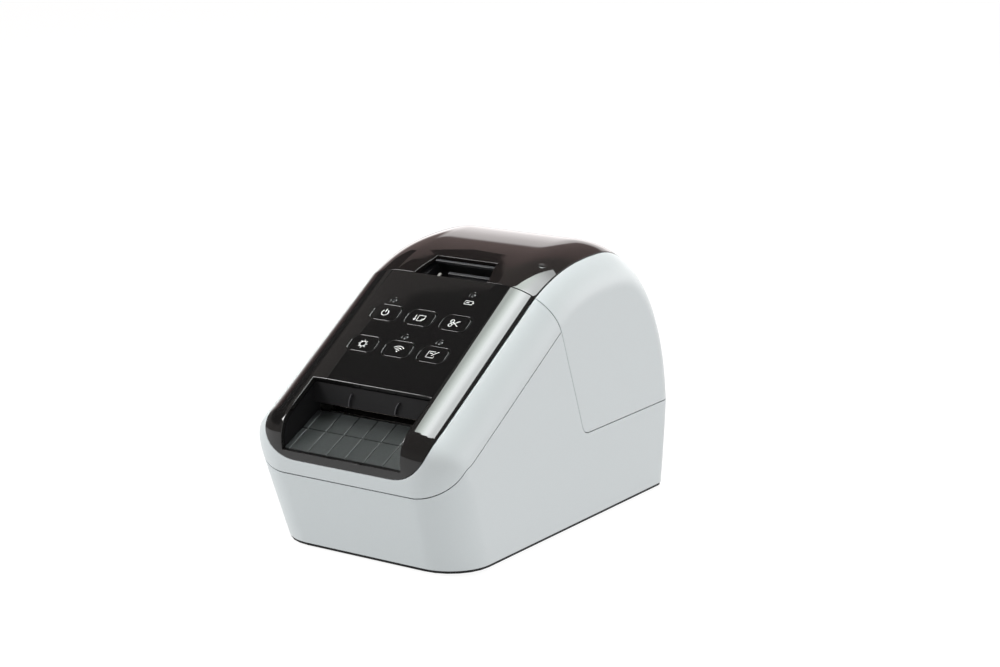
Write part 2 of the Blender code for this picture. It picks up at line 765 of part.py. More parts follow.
def make_base():
    base = prism("base_plate", plan_outline(2.0, 0.5), 0.9, 2.1, "Z", "black")
    join_on(base, prism("floor", plan_outline(2.0, WALL + 0.4), 2.0, 3.6, "Z", "black"))
    for side_name, x in (("left", -FOOT_AT[0]), ("right", FOOT_AT[0])):
        for end_name, y in zip(("front", "rear"), FOOT_AT[1]):
            cut_from(base, rod("pocket", (x, y), FOOT_R + FIT, 0.0, 2.0, "Z", "black"))
            rod(f"foot_{end_name}_{side_name}", (x, y), FOOT_R, 0.0, 1.7, "Z", "rubber", 24)
    for side_name, x in (("left", -BOSS[0]), ("right", BOSS[0])):
        for end_name, y in zip(("front", "rear"), BOSS[1]):
            cut_from(base, rod("pocket", (x, y), 3.0, 0.0, 2.4, "Z", "black", 16))
            cut_from(base, rod("bore", (x, y), SCREW_R + FIT, 0.0, 5.0, "Z", "black", 12))
            screw = rod(f"case_screw_{end_name}_{side_name}", (x, y), SCREW_R, 1.5, 12.0, "Z", "steel", 12)
            join_on(screw, rod("head", (x, y), 2.6, 1.1, 2.1, "Z", "steel", 12))


# ---------------------------------------------------------------- lid

def lid_rows():
    """The lid's stations along the skin, from its front seam to its lower rear edge."""
    return (2.12, 2.4, 2.7, 3.0, 3.2, 3.4, 3.6, WINDOW_END)


def lid_edge(turn, level):
    """Where the lid's skin comes down to a level on the rear, at a fraction across the shoulder."""
    return solve(3.3, 4.0, lambda t: skin(t, rear_w(t, turn))[2] < level)


def rear_w(t, fraction):
    """The cross coordinate between the window's edge (0) and the side wall (1)."""
    return mix(across(t, EDGE_X + GAP_W / 2), side(t), fraction)


def make_lid_cover():
    half = GAP_W / 2
    fractions = (0.0, 0.33, 0.66, 1.0)
    rows = [[(t, rear_w(t, f)) for f, t in
             [(f, seam_t(lambda t, f=f: rear_w(t, f), half)) for f in fractions]]]
    for t in lid_rows()[:-1] + (WINDOW_END + 0.004,):
        rows.append([(t, rear_w(t, f)) for f in fractions])
    rows.append([(t, rear_w(t, f)) for f, t in [(f, lid_edge(f, LID_BOTTOM + half)) for f in fractions]])
    corner = lid_seam_corner(half)
    peak = skin(*rows[0][-1])[1:]
    end = skin(*rows[-1][-1])[1:]
    feet = [peak, (mix(peak[0], corner[0][0], 0.5), mix(peak[1], corner[0][1], 0.5)), corner[0], corner[2],
            corner[4]]
    feet += [(mix(corner[4][0], end[0], k / 5.0), LID_BOTTOM + half) for k in (1, 2, 3, 4)] + [end]
    outer, inner = [], []
    for row, (y, z) in zip(rows, feet):
        shoulder = [skin(t, w) for t, w in row]
        lining = [under(t, w, WALL) for t, w in row]
        foot = (half_width(z), y, z)
        foot_lining = (half_width(z) - WALL, y, z)
        if (y, z) in (peak, end):
            foot, foot_lining = shoulder[-1], lining[-1]
        right = shoulder + [foot]
        right_lining = lining + [foot_lining]
        outer.append([(-a, b, c) for a, b, c in right[::-1]] + right)
        inner.append([(-a, b, c) for a, b, c in right_lining[::-1]] + right_lining)
    last = len(rows) - 2
    shell("lid_cover", outer, inner, "silver", lambda i, j: j != len(fractions) or i == last)


def make_lid_window():
    half = GAP_W / 2
    inner_end = solve(2.0, 2.8, lambda t: math.dist(centre(t), GAP) > NOTCH[2])
    edge = EDGE_X - half
    wide = [NOTCH[0] + 5.0, 39.0, 45.0, edge]
    xs = [-x for x in wide[::-1]] + [-NOTCH[0], 0.0, NOTCH[0]] + wide
    rows = [seam_row(xs, half)]
    xs = [math.copysign(NOTCH[1], x) if abs(x) == NOTCH[0] else x for x in xs]
    for t in (inner_end,) + lid_rows()[1:-1] + (WINDOW_END - 0.004,):
        rows.append([(t, across(t, x)) for x in xs])
    outer, inner = grid_on_skin(rows, 0.0, WALL)
    middle = len(wide)
    shell("lid_window", outer, inner, "smoke", lambda i, j: i > 0 or j not in (middle, middle + 1))


def make_lid_frame():
    """The stiffening frame glued under the window's edges, which carries the lid's hinge load."""
    ts = (2.40, 2.55, 2.7, 2.85, 3.0, 3.1, 3.2, 3.3, 3.4, 3.5, 3.6, 3.68)
    xs = (-49.5, -46.0, -42.0, 0.0, 42.0, 46.0, 49.5)
    rows = [[(t, across(t, x)) for x in xs] for t in ts]
    outer, inner = grid_on_skin(rows, WALL + FIT + 1.3, WALL + FIT + 3.1)
    shell("lid_frame", outer, inner, "black", lambda i, j: i in (0, len(ts) - 2) or j in (0, 1, 4, 5))


def make_hinge():
    low, high = HINGE_ARM_X
    for name, sign in (("left", -1), ("right", 1)):
        x = sorted((sign * low, sign * high))
        arm = rod(f"lid_hinge_arm_{name}", HINGE, HINGE_R, *x, "X", "black")
        join_on(arm, prism("leaf", [(HINGE[0] - HINGE_R, HINGE[1]), (HINGE[0] - 1.0, HINGE[1]),
                                    (HINGE[0] - 1.0, 60.0), (HINGE[0] - HINGE_R, 62.0)], *x, "X", "black"))
        cut_from(arm, rod("bore", HINGE, HINGE_SHAFT_R + FIT, x[0] - 1, x[1] + 1, "X", "black", 16))
    back = BACK_Y + FIT
    mount = box("hinge_mount", (-46.0, 46.0), (back, back + 1.6), (36.0, 46.0), "black")
    for sign in (-1, 1):
        for post in HINGE_POSTS:
            x = sorted(sign * value for value in post)
            outline = [(back, 40.0), (HINGE[0] + 1.0, 46.0), (HINGE[0] + 1.0, 49.0), (back, 49.4)]
            join_on(mount, prism("post", outline, *x, "X", "black"),
                    rod("knuckle", HINGE, HINGE_R, *x, "X", "black"))
    cut_from(mount, rod("bore", HINGE, HINGE_SHAFT_R + FIT, -50.0, 50.0, "X", "black", 16))
    rod("hinge_shaft", HINGE, HINGE_SHAFT_R, -44.0, 44.0, "X", "steel", 16)


# ---------------------------------------------------------------- print mechanism

def gear_outline(centre_point, teeth, phase):
    """A spur gear's outline with straight-sided teeth; phase is the angle of one tooth's middle."""
    pitch = MODULE * teeth / 2.0
    tip, root = pitch + 0.9 * MODULE, pitch - 1.15 * MODULE
    outline = []
    for k in range(teeth):
        middle = phase + 2.0 * math.pi * k / teeth
        for radius, part in ((root, -0.36), (tip, -0.14), (tip, 0.14), (root, 0.36)):
            outline.append(step(centre_point, middle + 2.0 * math.pi * part / teeth, radius))
    return outline


def meshing_phase(direction, teeth, phase, other_teeth):
    """The phase of a gear meshing with one at the given phase, its centre lying in a direction."""
    pitch = 2.0 * math.pi / teeth
    other_pitch = 2.0 * math.pi / other_teeth
    fraction = ((direction - phase) / pitch) % 1.0
    return direction + math.pi - (0.5 - fraction) * other_pitch


def gear_centres():
    near = MODULE * (PLATEN_TEETH + IDLER_TEETH) / 2.0 + MESH_SLACK
    idler = step(PLATEN_AXIS, IDLER_DIRECTION, near)
    far = MODULE * (IDLER_TEETH + PINION_TEETH) / 2.0 + MESH_SLACK
    return idler, step(idler, PINION_DIRECTION, far)


def make_drive():
    idler_at, pinion_at = gear_centres()
    idler_phase = meshing_phase(IDLER_DIRECTION, PLATEN_TEETH, 0.0, IDLER_TEETH)
    pinion_phase = meshing_phase(PINION_DIRECTION, IDLER_TEETH, idler_phase, PINION_TEETH)
    gear = prism("platen_gear", gear_outline(PLATEN_AXIS, PLATEN_TEETH, 0.0), *GEAR_X, "X", "gear")
    join_on(gear, rod("shaft", PLATEN_AXIS, 2.5, -45.5, GEAR_X[1] + 0.5, "X", "gear", 16))
    put_origin(gear, (0.0, *PLATEN_AXIS))
    roller = rod("platen_roller", PLATEN_AXIS, PLATEN_R, -32.0, 32.0, "X", "rubber", 32)
    cut_from(roller, rod("bore", PLATEN_AXIS, 2.5 + FIT, -33.0, 33.0, "X", "rubber", 16))
    put_origin(roller, (0.0, *PLATEN_AXIS))
    idler = prism("idler_gear", gear_outline(idler_at, IDLER_TEETH, idler_phase), *GEAR_X, "X", "gear")
    cut_from(idler, rod("bore", idler_at, 1.5 + FIT, 40.0, 60.0, "X", "gear", 16))
    put_origin(idler, (0.0, *idler_at))
    pin = rod("idler_pin", idler_at, 1.5, CHASSIS_X[0] + FIT, GEAR_X[1] + 0.6, "X", "steel", 16)
    outline = gear_outline(pinion_at, PINION_TEETH, pinion_phase)
    pinion = prism("motor_pinion", outline, *GEAR_X, "X", "steel")
    join_on(pinion, rod("shaft", pinion_at, 1.5, CHASSIS_X[0], GEAR_X[0] + 1.0, "X", "steel", 16))
    put_origin(pinion, (0.0, *pinion_at))
    motor = rod("feed_motor", pinion_at, 14.0, 20.0, CHASSIS_X[0] - FIT, "X", "steel", 28)
    return pin, motor


def make_mechanism_frame():
    idler_at, pinion_at = gear_centres()
    side_plate = [(-76.0, 4.2), (-24.0, 4.2), (-24.0, 100.0), (-45.0, 100.0), (-76.0, 80.0)]
    frame = prism("mechanism_frame", side_plate, *CHASSIS_X, "X", "steel")
    join_on(frame, prism("plate", side_plate, -CHASSIS_X[1], -CHASSIS_X[0], "X", "steel"))
    join_on(frame, box("tie", (-45.0, 45.0), (-72.0, -28.0), (20.0, 22.0), "steel"))
    join_on(frame, box("bar", (-45.0, 45.0), (-66.0, -54.0), (87.0, 89.0), "steel"))
    for place, radius in ((PLATEN_AXIS, 2.5 + FIT), (HEAD_PIVOT, 1.5 + FIT), (CRANK_AXIS, 2.0 + FIT)):
        cut_from(frame, rod("bore", place, radius, -50.0, 50.0, "X", "steel", 16))
    for place in (idler_at, pinion_at):
        cut_from(frame, rod("bore", place, 1.5 + FIT, 40.0, 50.0, "X", "steel", 16))


def make_cutter():
    """A guillotine: a crank on the left drives the upper blade down past the fixed one."""
    box("cutter_fixed_blade", (-34.0, 34.0), (-74.0, -73.0), (58.0, 68.6), "steel")
    rod("cutter_motor", (-66.0, 46.0), 8.0, -CHASSIS_X[0] + FIT, -22.0, "X", "steel", 24)
    blade = box("cutter_blade", (-40.6, 34.0), (-75.2, -74.3), (74.0, 84.0), "steel")
    arm = box("arm", (-40.6, -39.4), (-75.2, -61.0), (75.4, 84.6), "steel")
    join_on(blade, arm)
    cut_from(blade, box("slot", (-42.0, -38.0), (-74.0, -62.6), (77.0, 83.0), "steel"))
    crank = rod("cutter_crank", CRANK_AXIS, 8.5, -43.5, -41.2, "X", "gear", 24)
    pin_at = (CRANK_AXIS[0], CRANK_AXIS[1] + CRANK_THROW)
    join_on(crank, rod("pin", pin_at, 1.5, -42.0, -38.9, "X", "gear", 12))
    join_on(crank, rod("shaft", CRANK_AXIS, 2.0, -47.0, -42.0, "X", "gear", 12))
    put_origin(crank, (0.0, *CRANK_AXIS))


def make_head():
    arm = [(-35.0, 81.0), (-35.0, 87.0), (-41.0, 87.0), (-52.0, 80.0), (-67.0, 80.0), (-67.0, 71.0),
           (-50.0, 71.0)]
    carrier = prism("head_carrier", arm, 36.5, 37.8, "X", "steel")
    join_on(carrier, prism("arm", arm, -37.8, -36.5, "X", "steel"))
    join_on(carrier, box("bridge", (-37.0, 37.0), (-66.0, -54.0), (76.2, 77.4), "steel"))
    join_on(carrier, rod("pivot", HEAD_PIVOT, 1.5, -45.6, 45.6, "X", "steel", 16))
    put_origin(carrier, (0.0, *HEAD_PIVOT))
    box("print_head", (-34.0, 34.0), (-66.0, -52.0), (69.0, 70.5), "ceramic")
    sink = box("heat_sink", (-34.0, 34.0), (-66.0, -52.0), (70.8, 75.8), "steel")
    for k in range(-3, 4):
        x = k * 9.0
        cut_from(sink, box("groove", (x - 2.5, x + 2.5), (-70.0, -50.0), (73.0, 78.0), "steel"))
    for name, x in (("left", -20.0), ("right", 20.0)):
        coil(f"head_spring_{name}", (x, -60.0), 3.0, 0.5, 77.8, 86.6, 4)


def coil(name, place, radius, wire, low, high, turns):
    """A coil spring: a round wire wound upwards."""
    around, rings = 6, 10 * turns
    points = []
    for k in range(rings + 1):
        angle = 2.0 * math.pi * turns * k / rings
        z = mix(low + wire, high - wire, k / rings)
        for m in range(around):
            bend = 2.0 * math.pi * m / around
            reach = radius + wire * math.cos(bend)
            points.append((place[0] + reach * math.cos(angle), place[1] + reach * math.sin(angle),
                           z + wire * math.sin(bend)))
    faces = []
    for k in range(rings):
        for m in range(around):
            n = (m + 1) % around
            faces.append([k * around + m, k * around + n, (k + 1) * around + n, (k + 1) * around + m])
    faces += [list(range(around)), list(range(rings * around, (rings + 1) * around))]
    make_object(name, points, faces, "steel")


# ---------------------------------------------------------------- inside the case

def cradle_height(y):
    reach = ROLL_R ** 2 - (y - ROLL_CENTRE[0]) ** 2
    if reach <= 0.0:
        return DECK_Z
    return min(DECK_Z, ROLL_CENTRE[1] - math.sqrt(reach))


def make_roll_cradle():
    """A deck with a round-bottomed trough that the label roll lies in."""
    lip = math.sqrt(ROLL_R ** 2 - (ROLL_CENTRE[1] - DECK_Z) ** 2)
    ys = [-16.0] + [ROLL_CENTRE[0] + lip * k / 6.0 for k in range(-6, 7)] + [101.0]
    outer, inner = [], []
    for y in ys:
        z = cradle_height(y)
        top = [(57.0, DECK_Z), (CRADLE_X, DECK_Z), (CRADLE_X - 0.4, z)]
        under_side = [(57.0, DECK_Z - 2.0), (CRADLE_X + 2.0, DECK_Z - 2.0), (CRADLE_X + 1.6, z - 2.0)]
        outer.append([(-x, y, h) for x, h in top] + [(x, y, h) for x, h in top[::-1]])
        inner.append([(-x, y, h) for x, h in under_side] + [(x, y, h) for x, h in under_side[::-1]])
    shell("roll_cradle", outer, inner, "black")


def make_electronics():
    slope_block("key_board", (-31.0, 31.0), (-62.0, -6.5),
                (KEY_BOARD_DEPTH, KEY_BOARD_DEPTH + 1.6), "board")
    for number, (x, s) in enumerate(LED_PLACES, 1):
        slope_block(f"light_guide_{number}", (x - LED_R, x + LED_R), (s - LED_R, s + LED_R),
                    (0.0, KEY_BOARD_DEPTH - FIT), "light", LED_R)
    box("main_board", (-40.0, 50.0), (-18.0, 60.0), (8.0, 9.6), "board")
    box("power_board", (-48.0, 10.0), (63.0, 99.0), (8.0, 9.6), "board")
    box("port_board", (17.0, 43.0), (80.0, 103.0), (15.9, 17.5), "board")
    box("wireless_board", (57.0, 58.2), (-15.0, 15.0), (20.0, 40.0), "board")
    guide = box("label_guide", (-43.6, 43.6), (-50.0, -22.0), (64.8, 66.3), "black")
    cut_from(guide, box("eye", (-7.0, 7.0), (-43.0, -37.0), (60.0, 70.0), "black"))
    box("label_sensor", (-10.0, 10.0), (-45.0, -35.0), (61.0, 64.5), "black")


def make_ports():
    x, z = USB_AT
    wide, high = USB_SIZE[0] / 2, USB_SIZE[1] / 2
    socket = box("usb_port", (x - wide, x + wide), (93.0, BACK_Y - 0.4), (z - high, z + high), "steel")
    cut_from(socket, box("mouth", (x - wide + 0.5, x + wide - 0.5), (98.0, 112.0),
                         (z - high + 0.5, z + high - 0.5), "steel"))
    x, z = INLET_AT
    wide, high = INLET_SIZE[0] / 2, INLET_SIZE[1] / 2
    inlet = box("ac_inlet", (x - wide, x + wide), (88.0, BACK_Y - 0.4), (z - high, z + high), "black")
    cut_from(inlet, box("mouth", (x - wide + 2.0, x + wide - 2.0), (92.0, 112.0),
                        (z - high + 2.0, z + high - 2.0), "black"))
    for dx, dz in ((-4.5, -1.5), (0.0, 2.0), (4.5, -1.5)):
        join_on(inlet, rod("pin", (x + dx, z + dz), 1.0, 91.0, 102.0, "Y", "black", 8))


# ---------------------------------------------------------------- everything

def main():
    for made in list(bpy.data.objects):
        bpy.data.objects.remove(made)
    make_base()
    make_lower_case()
    make_front_frame()
    make_front_panel()
    make_keys()
    make_label_tray()
    make_outlet_housing()
    make_finger_recess()
    make_lid_cover()
    make_lid_window()
    make_lid_frame()
    make_hinge()
    make_mechanism_frame()
    make_drive()
    make_cutter()
    make_head()
    make_roll_cradle()
    make_electronics()
    make_ports()


main()
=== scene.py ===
"""Looks for the desktop label printer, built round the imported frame.

The shells are built again from the same skin that the solids follow, with finer steps and rounded rims.
Lengths inside the functions are millimetres in a design frame whose Y zero lies near the body's middle, and
`to_world` turns them into the frame's metres.
"""
import math

import bmesh
import bpy
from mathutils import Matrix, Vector
from mathutils.kdtree import KDTree


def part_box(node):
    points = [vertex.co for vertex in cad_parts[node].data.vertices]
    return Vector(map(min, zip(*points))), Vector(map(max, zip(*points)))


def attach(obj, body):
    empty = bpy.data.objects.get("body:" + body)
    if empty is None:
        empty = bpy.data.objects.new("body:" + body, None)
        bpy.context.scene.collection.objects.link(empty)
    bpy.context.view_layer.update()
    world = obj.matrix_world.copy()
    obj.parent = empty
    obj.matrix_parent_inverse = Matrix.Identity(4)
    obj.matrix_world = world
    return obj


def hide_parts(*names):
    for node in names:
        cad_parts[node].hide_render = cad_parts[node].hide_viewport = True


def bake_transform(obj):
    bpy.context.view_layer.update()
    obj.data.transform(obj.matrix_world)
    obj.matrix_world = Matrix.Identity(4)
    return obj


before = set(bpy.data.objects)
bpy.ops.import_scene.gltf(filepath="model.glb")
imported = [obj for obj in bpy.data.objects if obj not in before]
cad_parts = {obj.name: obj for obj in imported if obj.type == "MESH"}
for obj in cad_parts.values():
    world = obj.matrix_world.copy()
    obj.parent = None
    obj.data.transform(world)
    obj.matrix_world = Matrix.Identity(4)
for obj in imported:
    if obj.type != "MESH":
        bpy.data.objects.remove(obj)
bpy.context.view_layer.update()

# Driving dimensions, millimetres, as in the solids
MM = 0.001
HALF_WIDTH = 62.65
FOOT_INSET = 2.65
LEAN_TOP = 60.0
CASE_BOTTOM = 2.4
FRONT_SEAM = (-106.5, 43.0)
BACK_Y = 106.0
CASE_LEAN = 0.366
CORNER_R = 23.5
REAR_CORNER_R = 8.0
WALL = 2.2
GAP_W = 0.4
FIT = 0.3
DESIGN_Y = BACK_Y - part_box("lower_case")[1].y / MM
SEAM_SHARE = 0.6            # the share of a case wall column that lies below the front seam's height
FOOT_START = -66.0          # side wall columns: the first one's Y at the bottom
KNEE_START = -81.5          # and at the front seam's height
FOOT_STEP = 1.4

# The skin's centre line
SLOPE = math.radians(32.17)
ALONG = (math.cos(SLOPE), math.sin(SLOPE))
GAP = (-15.73, 131.66)
SLOPE_START = -103.0
FRONT_LEAN = math.radians(20.1)
FRONT_HANDLES = (14.0, 14.0)
CREST = (46.0, 144.8)
REAR_END = (107.0, 48.0)
LID_START_ANGLE = math.radians(25.0)
REAR_ANGLE = math.radians(-82.0)
LID_HANDLES = (20.0, 30.0)
REAR_HANDLES = (40.0, 46.0)
SHOULDER_A = 32.0
SHOULDER_B = 23.5
REAR_R = 9.0

# Seams
EDGE_X = 50.8
SEAM_RISE = 15.5
LID_SEAM_LEAN = math.radians(21.0)
LID_BOTTOM = 50.0
LID_SEAM_R = 7.0
PANEL_BOTTOM = 51.7
PANEL_CORNER_X = 29.3
PANEL_CORNER_R = 21.5
WINDOW_END = 3.78

# Label outlet and its tray
OUTLET_X = 36.5
OUTLET_TOP = -81.3
OUTLET_SILL = 56.4
TRAY_FRONT = (-110.0, 56.6)
TRAY_REAR = (-80.9, 70.2)
TRAY_THICKNESS = 2.0
GROOVE_PITCH = 11.45
GROOVE_SHIFT = 1.6
GROOVE_HALF = 0.34
GROOVE_LIP = 0.68           # where the softened left lip of a groove starts
LIP_DROP = 0.13
GROOVE_DEPTH = 0.5
GROOVE_WALL = 0.06          # how far each groove's wall leans inwards
CROSS_GROOVE = 0.55         # where the cross groove lies, from the tray's front to its rear
SLOT_HEIGHT = 5.4
OUTLET_RIBS = ((-13.9, 0.9, 75.6, 82.6), (15.0, 1.2, 76.0, 82.4))   # each rib's x, lean, foot and top
RIB_BOW = 0.6
RIB_WIDTH = 0.8

# Keys and indicators
KEY_PITCH = 21.5
KEY_ROWS = (-31.1, -54.2)
KEY_HALF = (8.0, 5.4)
KEY_CORNER = 3.6
KEY_NAMES = (("power_button", "feed_button", "cut_button"),
             ("setup_button", "wireless_button", "editor_button"))
LED_R = 1.45
LED_PLACES = ((-22.3, -21.5), (-0.8, -45.2), (20.6, -45.2), (20.2, -10.0))
BOARD_DEPTH = 7.2
SPRING_TURNS = 4
ICON_STROKE = 0.36
NOTCH = (22.5, 19.0, 17.2)
RECESS_END = 20.3
RECESS_FRONT = 5.0
WINDOW_BOSS = (42.1, 2.41)  # its x and its place along the skin

# Studio
FLOOR_GLOW = 0.92
CEILING_COLOUR = (0.27, 0.25, 0.235)
CURTAIN = 0.15              # what is left of the ceiling's light in front of the black curtain
COVE = 1.3
LOW_COVE = 0.5
RIGHT_WALL = 0.95
STUDIO_HEIGHT = 1.5
SOFTBOX_GLOW = (7.0, 16.6)
SOFTBOX_REAR_GLOW = 9.4
REAR_CEILING = 0.16
REAR_COLOUR = (1.0, 0.5, 0.5)
FRONT_WALL = 0.09
FRONT_LAMP = ((-1.11, -0.85, 1.20), 26.0)   # its place in metres and its power in watts
SOFTBOX_OUTLINE = ((-0.335, -0.14), (-0.43, 0.105), (-0.44, 0.34), (-0.368, 0.419), (-0.25, 0.538),
                   (-0.153, 0.67), (0.005, 0.87), (0.22, 0.80), (0.30, 0.40), (0.31, 0.07), (0.40, -0.14))
FLAG_OUTLINES = {
    "side_flag": ((-1.092, 0.106), (-1.076, 0.153), (-1.051, 0.171), (-1.037, 0.190), (-1.002, 0.207),
                  (-0.994, 0.216), (-0.970, 0.226), (-0.914, 0.237), (-0.872, 0.241), (-0.50, 0.24),
                  (-0.50, -0.20), (-1.10, -0.20)),
    "rear_flag": ((-1.60, 0.45), (-1.60, 0.80), (-1.15, 0.85), (-1.21, 1.05), (-1.29, 1.22), (-1.33, 1.36),
                  (-1.38, 1.54), (-1.40, 1.60), (-1.30, 1.52), (-1.10, 1.07), (-0.95, 0.66), (-0.90, 0.45)),
    "far_flag": ((-1.44, 0.82), (-3.40, 0.82), (-3.40, 2.60), (-2.30, 1.95), (-1.60, 1.35)),
}

# Camera
CAMERA_PLACE = (703.478, -1017.606, 396.170)
CAMERA_TILT = 76.479
CAMERA_TURN = 33.8735
LENS = 87.55


# -------- materials

def fill(tree, node, inputs):
    """Fills a node's sockets: an output is linked, anything else becomes the socket's value."""
    for name, value in inputs.items():
        if isinstance(value, bpy.types.NodeSocket):
            tree.links.new(value, node.inputs[name])
        else:
            node.inputs[name].default_value = value


def add(tree, kind, output, inputs=None, **settings):
    """Adds a node with its sockets filled and gives the named output."""
    node = tree.nodes.new("ShaderNode" + kind)
    for name, value in settings.items():
        setattr(node, name, value)
    fill(tree, node, inputs or {})
    return node.outputs[output]


def new_material(name):
    made = bpy.data.materials.new(name)
    made.use_nodes = True
    return made, made.node_tree


def fill_shader(tree, inputs):
    fill(tree, tree.nodes["Principled BSDF"], inputs)


def noise(tree, scale, detail=2.0):
    """Noise over the object's own coordinates, with its scale per metre."""
    return add(tree, "TexNoise", "Fac", {"Vector": add(tree, "TexCoord", "Object"), "Scale": scale,
                                         "Detail": detail, "Roughness": 0.5})


def remap(tree, source, low, high, start=0.3, end=0.7):
    """low where the source is start, high where it is end, straight between and level beyond."""
    return add(tree, "MapRange", "Result", {"Value": source, "From Min": start, "From Max": end,
                                            "To Min": low, "To Max": high})


def ramp(tree, source, low, high):
    """0 below low and 1 above high, with a smooth change between; low may be the larger."""
    return add(tree, "MapRange", "Result", {"Value": source, "From Min": low, "From Max": high},
               interpolation_type="SMOOTHSTEP")


def multiply(tree, first, second):
    return add(tree, "Math", "Value", {0: first, 1: second}, operation="MULTIPLY")


def blend_colour(tree, factor, first, second):
    return add(tree, "Mix", "Result", {"A": (*first, 1.0), "B": (*second, 1.0), "Factor": factor},
               data_type="RGBA")


def bump(tree, height, distance, after=None):
    inputs = {"Height": height, "Distance": distance, "Strength": 1.0}
    if after is not None:
        inputs["Normal"] = after
    return add(tree, "Bump", "Normal", inputs)


def axes(tree, kind):
    """X, Y and Z of one kind of coordinates."""
    node = add(tree, "SeparateXYZ", "X", {"Vector": add(tree, "TexCoord", kind)}).node
    return [node.outputs[axis] for axis in "XYZ"]


def plastic(name, dark, light, roughness, grain, grain_height, wave=0.0, coat=0.0, specular=0.5):
    """A moulded or painted surface: fine grain, a little colour variation and worn roughness.

    dark and light bound the colour, roughness is (low, high), grain is the texture's scale per metre and
    grain_height its depth in millimetres. wave is the depth of the slow ripple that shows in glossy parts.
    """
    made, tree = new_material(name)
    fine = noise(tree, grain, 3.0)
    normal = bump(tree, fine, grain_height * MM)
    if wave:
        normal = bump(tree, noise(tree, 28.0, 1.0), wave * MM, normal)
    fill_shader(tree, {
        "Base Color": blend_colour(tree, remap(tree, fine, 0.0, 1.0), dark, light),
        "Roughness": remap(tree, noise(tree, 60.0, 4.0), *roughness),
        "Specular IOR Level": specular, "Coat Weight": coat, "Coat Roughness": 0.08, "Normal": normal})
    return made


def brushed(name, dark, light, roughness):
    """Pressed steel with fine marks drawn out along X."""
    made, tree = new_material(name)
    place = add(tree, "TexCoord", "Object")
    stretch = add(tree, "Mapping", "Vector", {"Vector": place, "Scale": (60.0, 2500.0, 2500.0)})
    fine = add(tree, "TexNoise", "Fac", {"Vector": stretch, "Scale": 1.0})
    fill_shader(tree, {
        "Metallic": 1.0, "Base Color": blend_colour(tree, remap(tree, fine, 0.0, 1.0), dark, light),
        "Roughness": remap(tree, fine, *roughness), "Normal": bump(tree, fine, 0.01 * MM)})
    return made


def board_material():
    """Green lacquer over copper tracks."""
    made, tree = new_material("board")
    tracks = add(tree, "TexBrick", "Color", {
        "Vector": add(tree, "TexCoord", "Object"), "Scale": 160.0, "Mortar Size": 0.06,
        "Color1": (0.010, 0.10, 0.035, 1.0), "Color2": (0.014, 0.13, 0.045, 1.0),
        "Mortar": (0.03, 0.22, 0.08, 1.0)})
    fill_shader(tree, {
        "Base Color": tracks, "Coat Weight": 0.4, "Roughness": remap(tree, noise(tree, 900.0), 0.3, 0.5),
        "Normal": bump(tree, tracks.node.outputs["Fac"], 0.03 * MM)})
    return made


LOOKS = {
    "silver": plastic("silver", (0.462, 0.498, 0.510), (0.502, 0.540, 0.553), (0.34, 0.40), 5200.0, 0.004,
                      wave=0.02, specular=0.5),
    "gloss_black": plastic("gloss_black", (0.0055, 0.0052, 0.0052), (0.0080, 0.0075, 0.0075), (0.02, 0.05),
                           900.0, 0.0003, wave=0.03),
    "smoke": plastic("smoke", (0.0075, 0.0062, 0.006), (0.011, 0.0085, 0.008), (0.02, 0.06), 900.0, 0.0003,
                     wave=0.02),
    "black": plastic("black", (0.004, 0.004, 0.0045), (0.007, 0.007, 0.008), (0.52, 0.66), 4200.0, 0.02,
                     specular=0.25),
    "bar": plastic("bar", (0.020, 0.020, 0.023), (0.034, 0.034, 0.038), (0.30, 0.42), 3000.0, 0.01),
    "latch": plastic("latch", (0.17, 0.165, 0.155), (0.22, 0.215, 0.205), (0.4, 0.5), 2600.0, 0.01),
    "charcoal": plastic("charcoal", (0.011, 0.013, 0.013), (0.031, 0.036, 0.036), (0.38, 0.50), 2600.0,
                        0.05, specular=0.45),
    "rubber": plastic("rubber", (0.010, 0.010, 0.010), (0.020, 0.020, 0.020), (0.75, 0.9), 2600.0, 0.05),
    "gear": plastic("gear", (0.035, 0.034, 0.032), (0.052, 0.050, 0.048), (0.38, 0.5), 2500.0, 0.01),
    "ceramic": plastic("ceramic", (0.70, 0.67, 0.60), (0.80, 0.77, 0.70), (0.15, 0.3), 1500.0, 0.002,
                       coat=0.4),
    "light": plastic("light", (0.020, 0.021, 0.022), (0.034, 0.035, 0.037), (0.05, 0.12), 1200.0, 0.002),
    "print": plastic("print", (0.72, 0.73, 0.73), (0.80, 0.81, 0.81), (0.45, 0.6), 3000.0, 0.004),
    "steel": brushed("steel", (0.48, 0.48, 0.49), (0.60, 0.60, 0.61), (0.26, 0.38)),
    "board": board_material(),
}


# -------- meshes

def to_world(point):
    x, y, z = point
    return Vector((x * MM, (y - DESIGN_Y) * MM, z * MM))


def smooth(u):
    u = min(max(u, 0.0), 1.0)
    return u * u * (3.0 - 2.0 * u)


def mix(a, b, u):
    return a + (b - a) * u


def spread(low, high, count):
    return [mix(low, high, k / count) for k in range(count + 1)]


def between(a, b, count):
    """The points that part the way from a to b into equal runs, without its ends."""
    return [tuple(mix(p, q, k / count) for p, q in zip(a, b)) for k in range(1, count)]


def link(name, data):
    made = bpy.data.objects.new(name, data)
    bpy.context.scene.collection.objects.link(made)
    return made


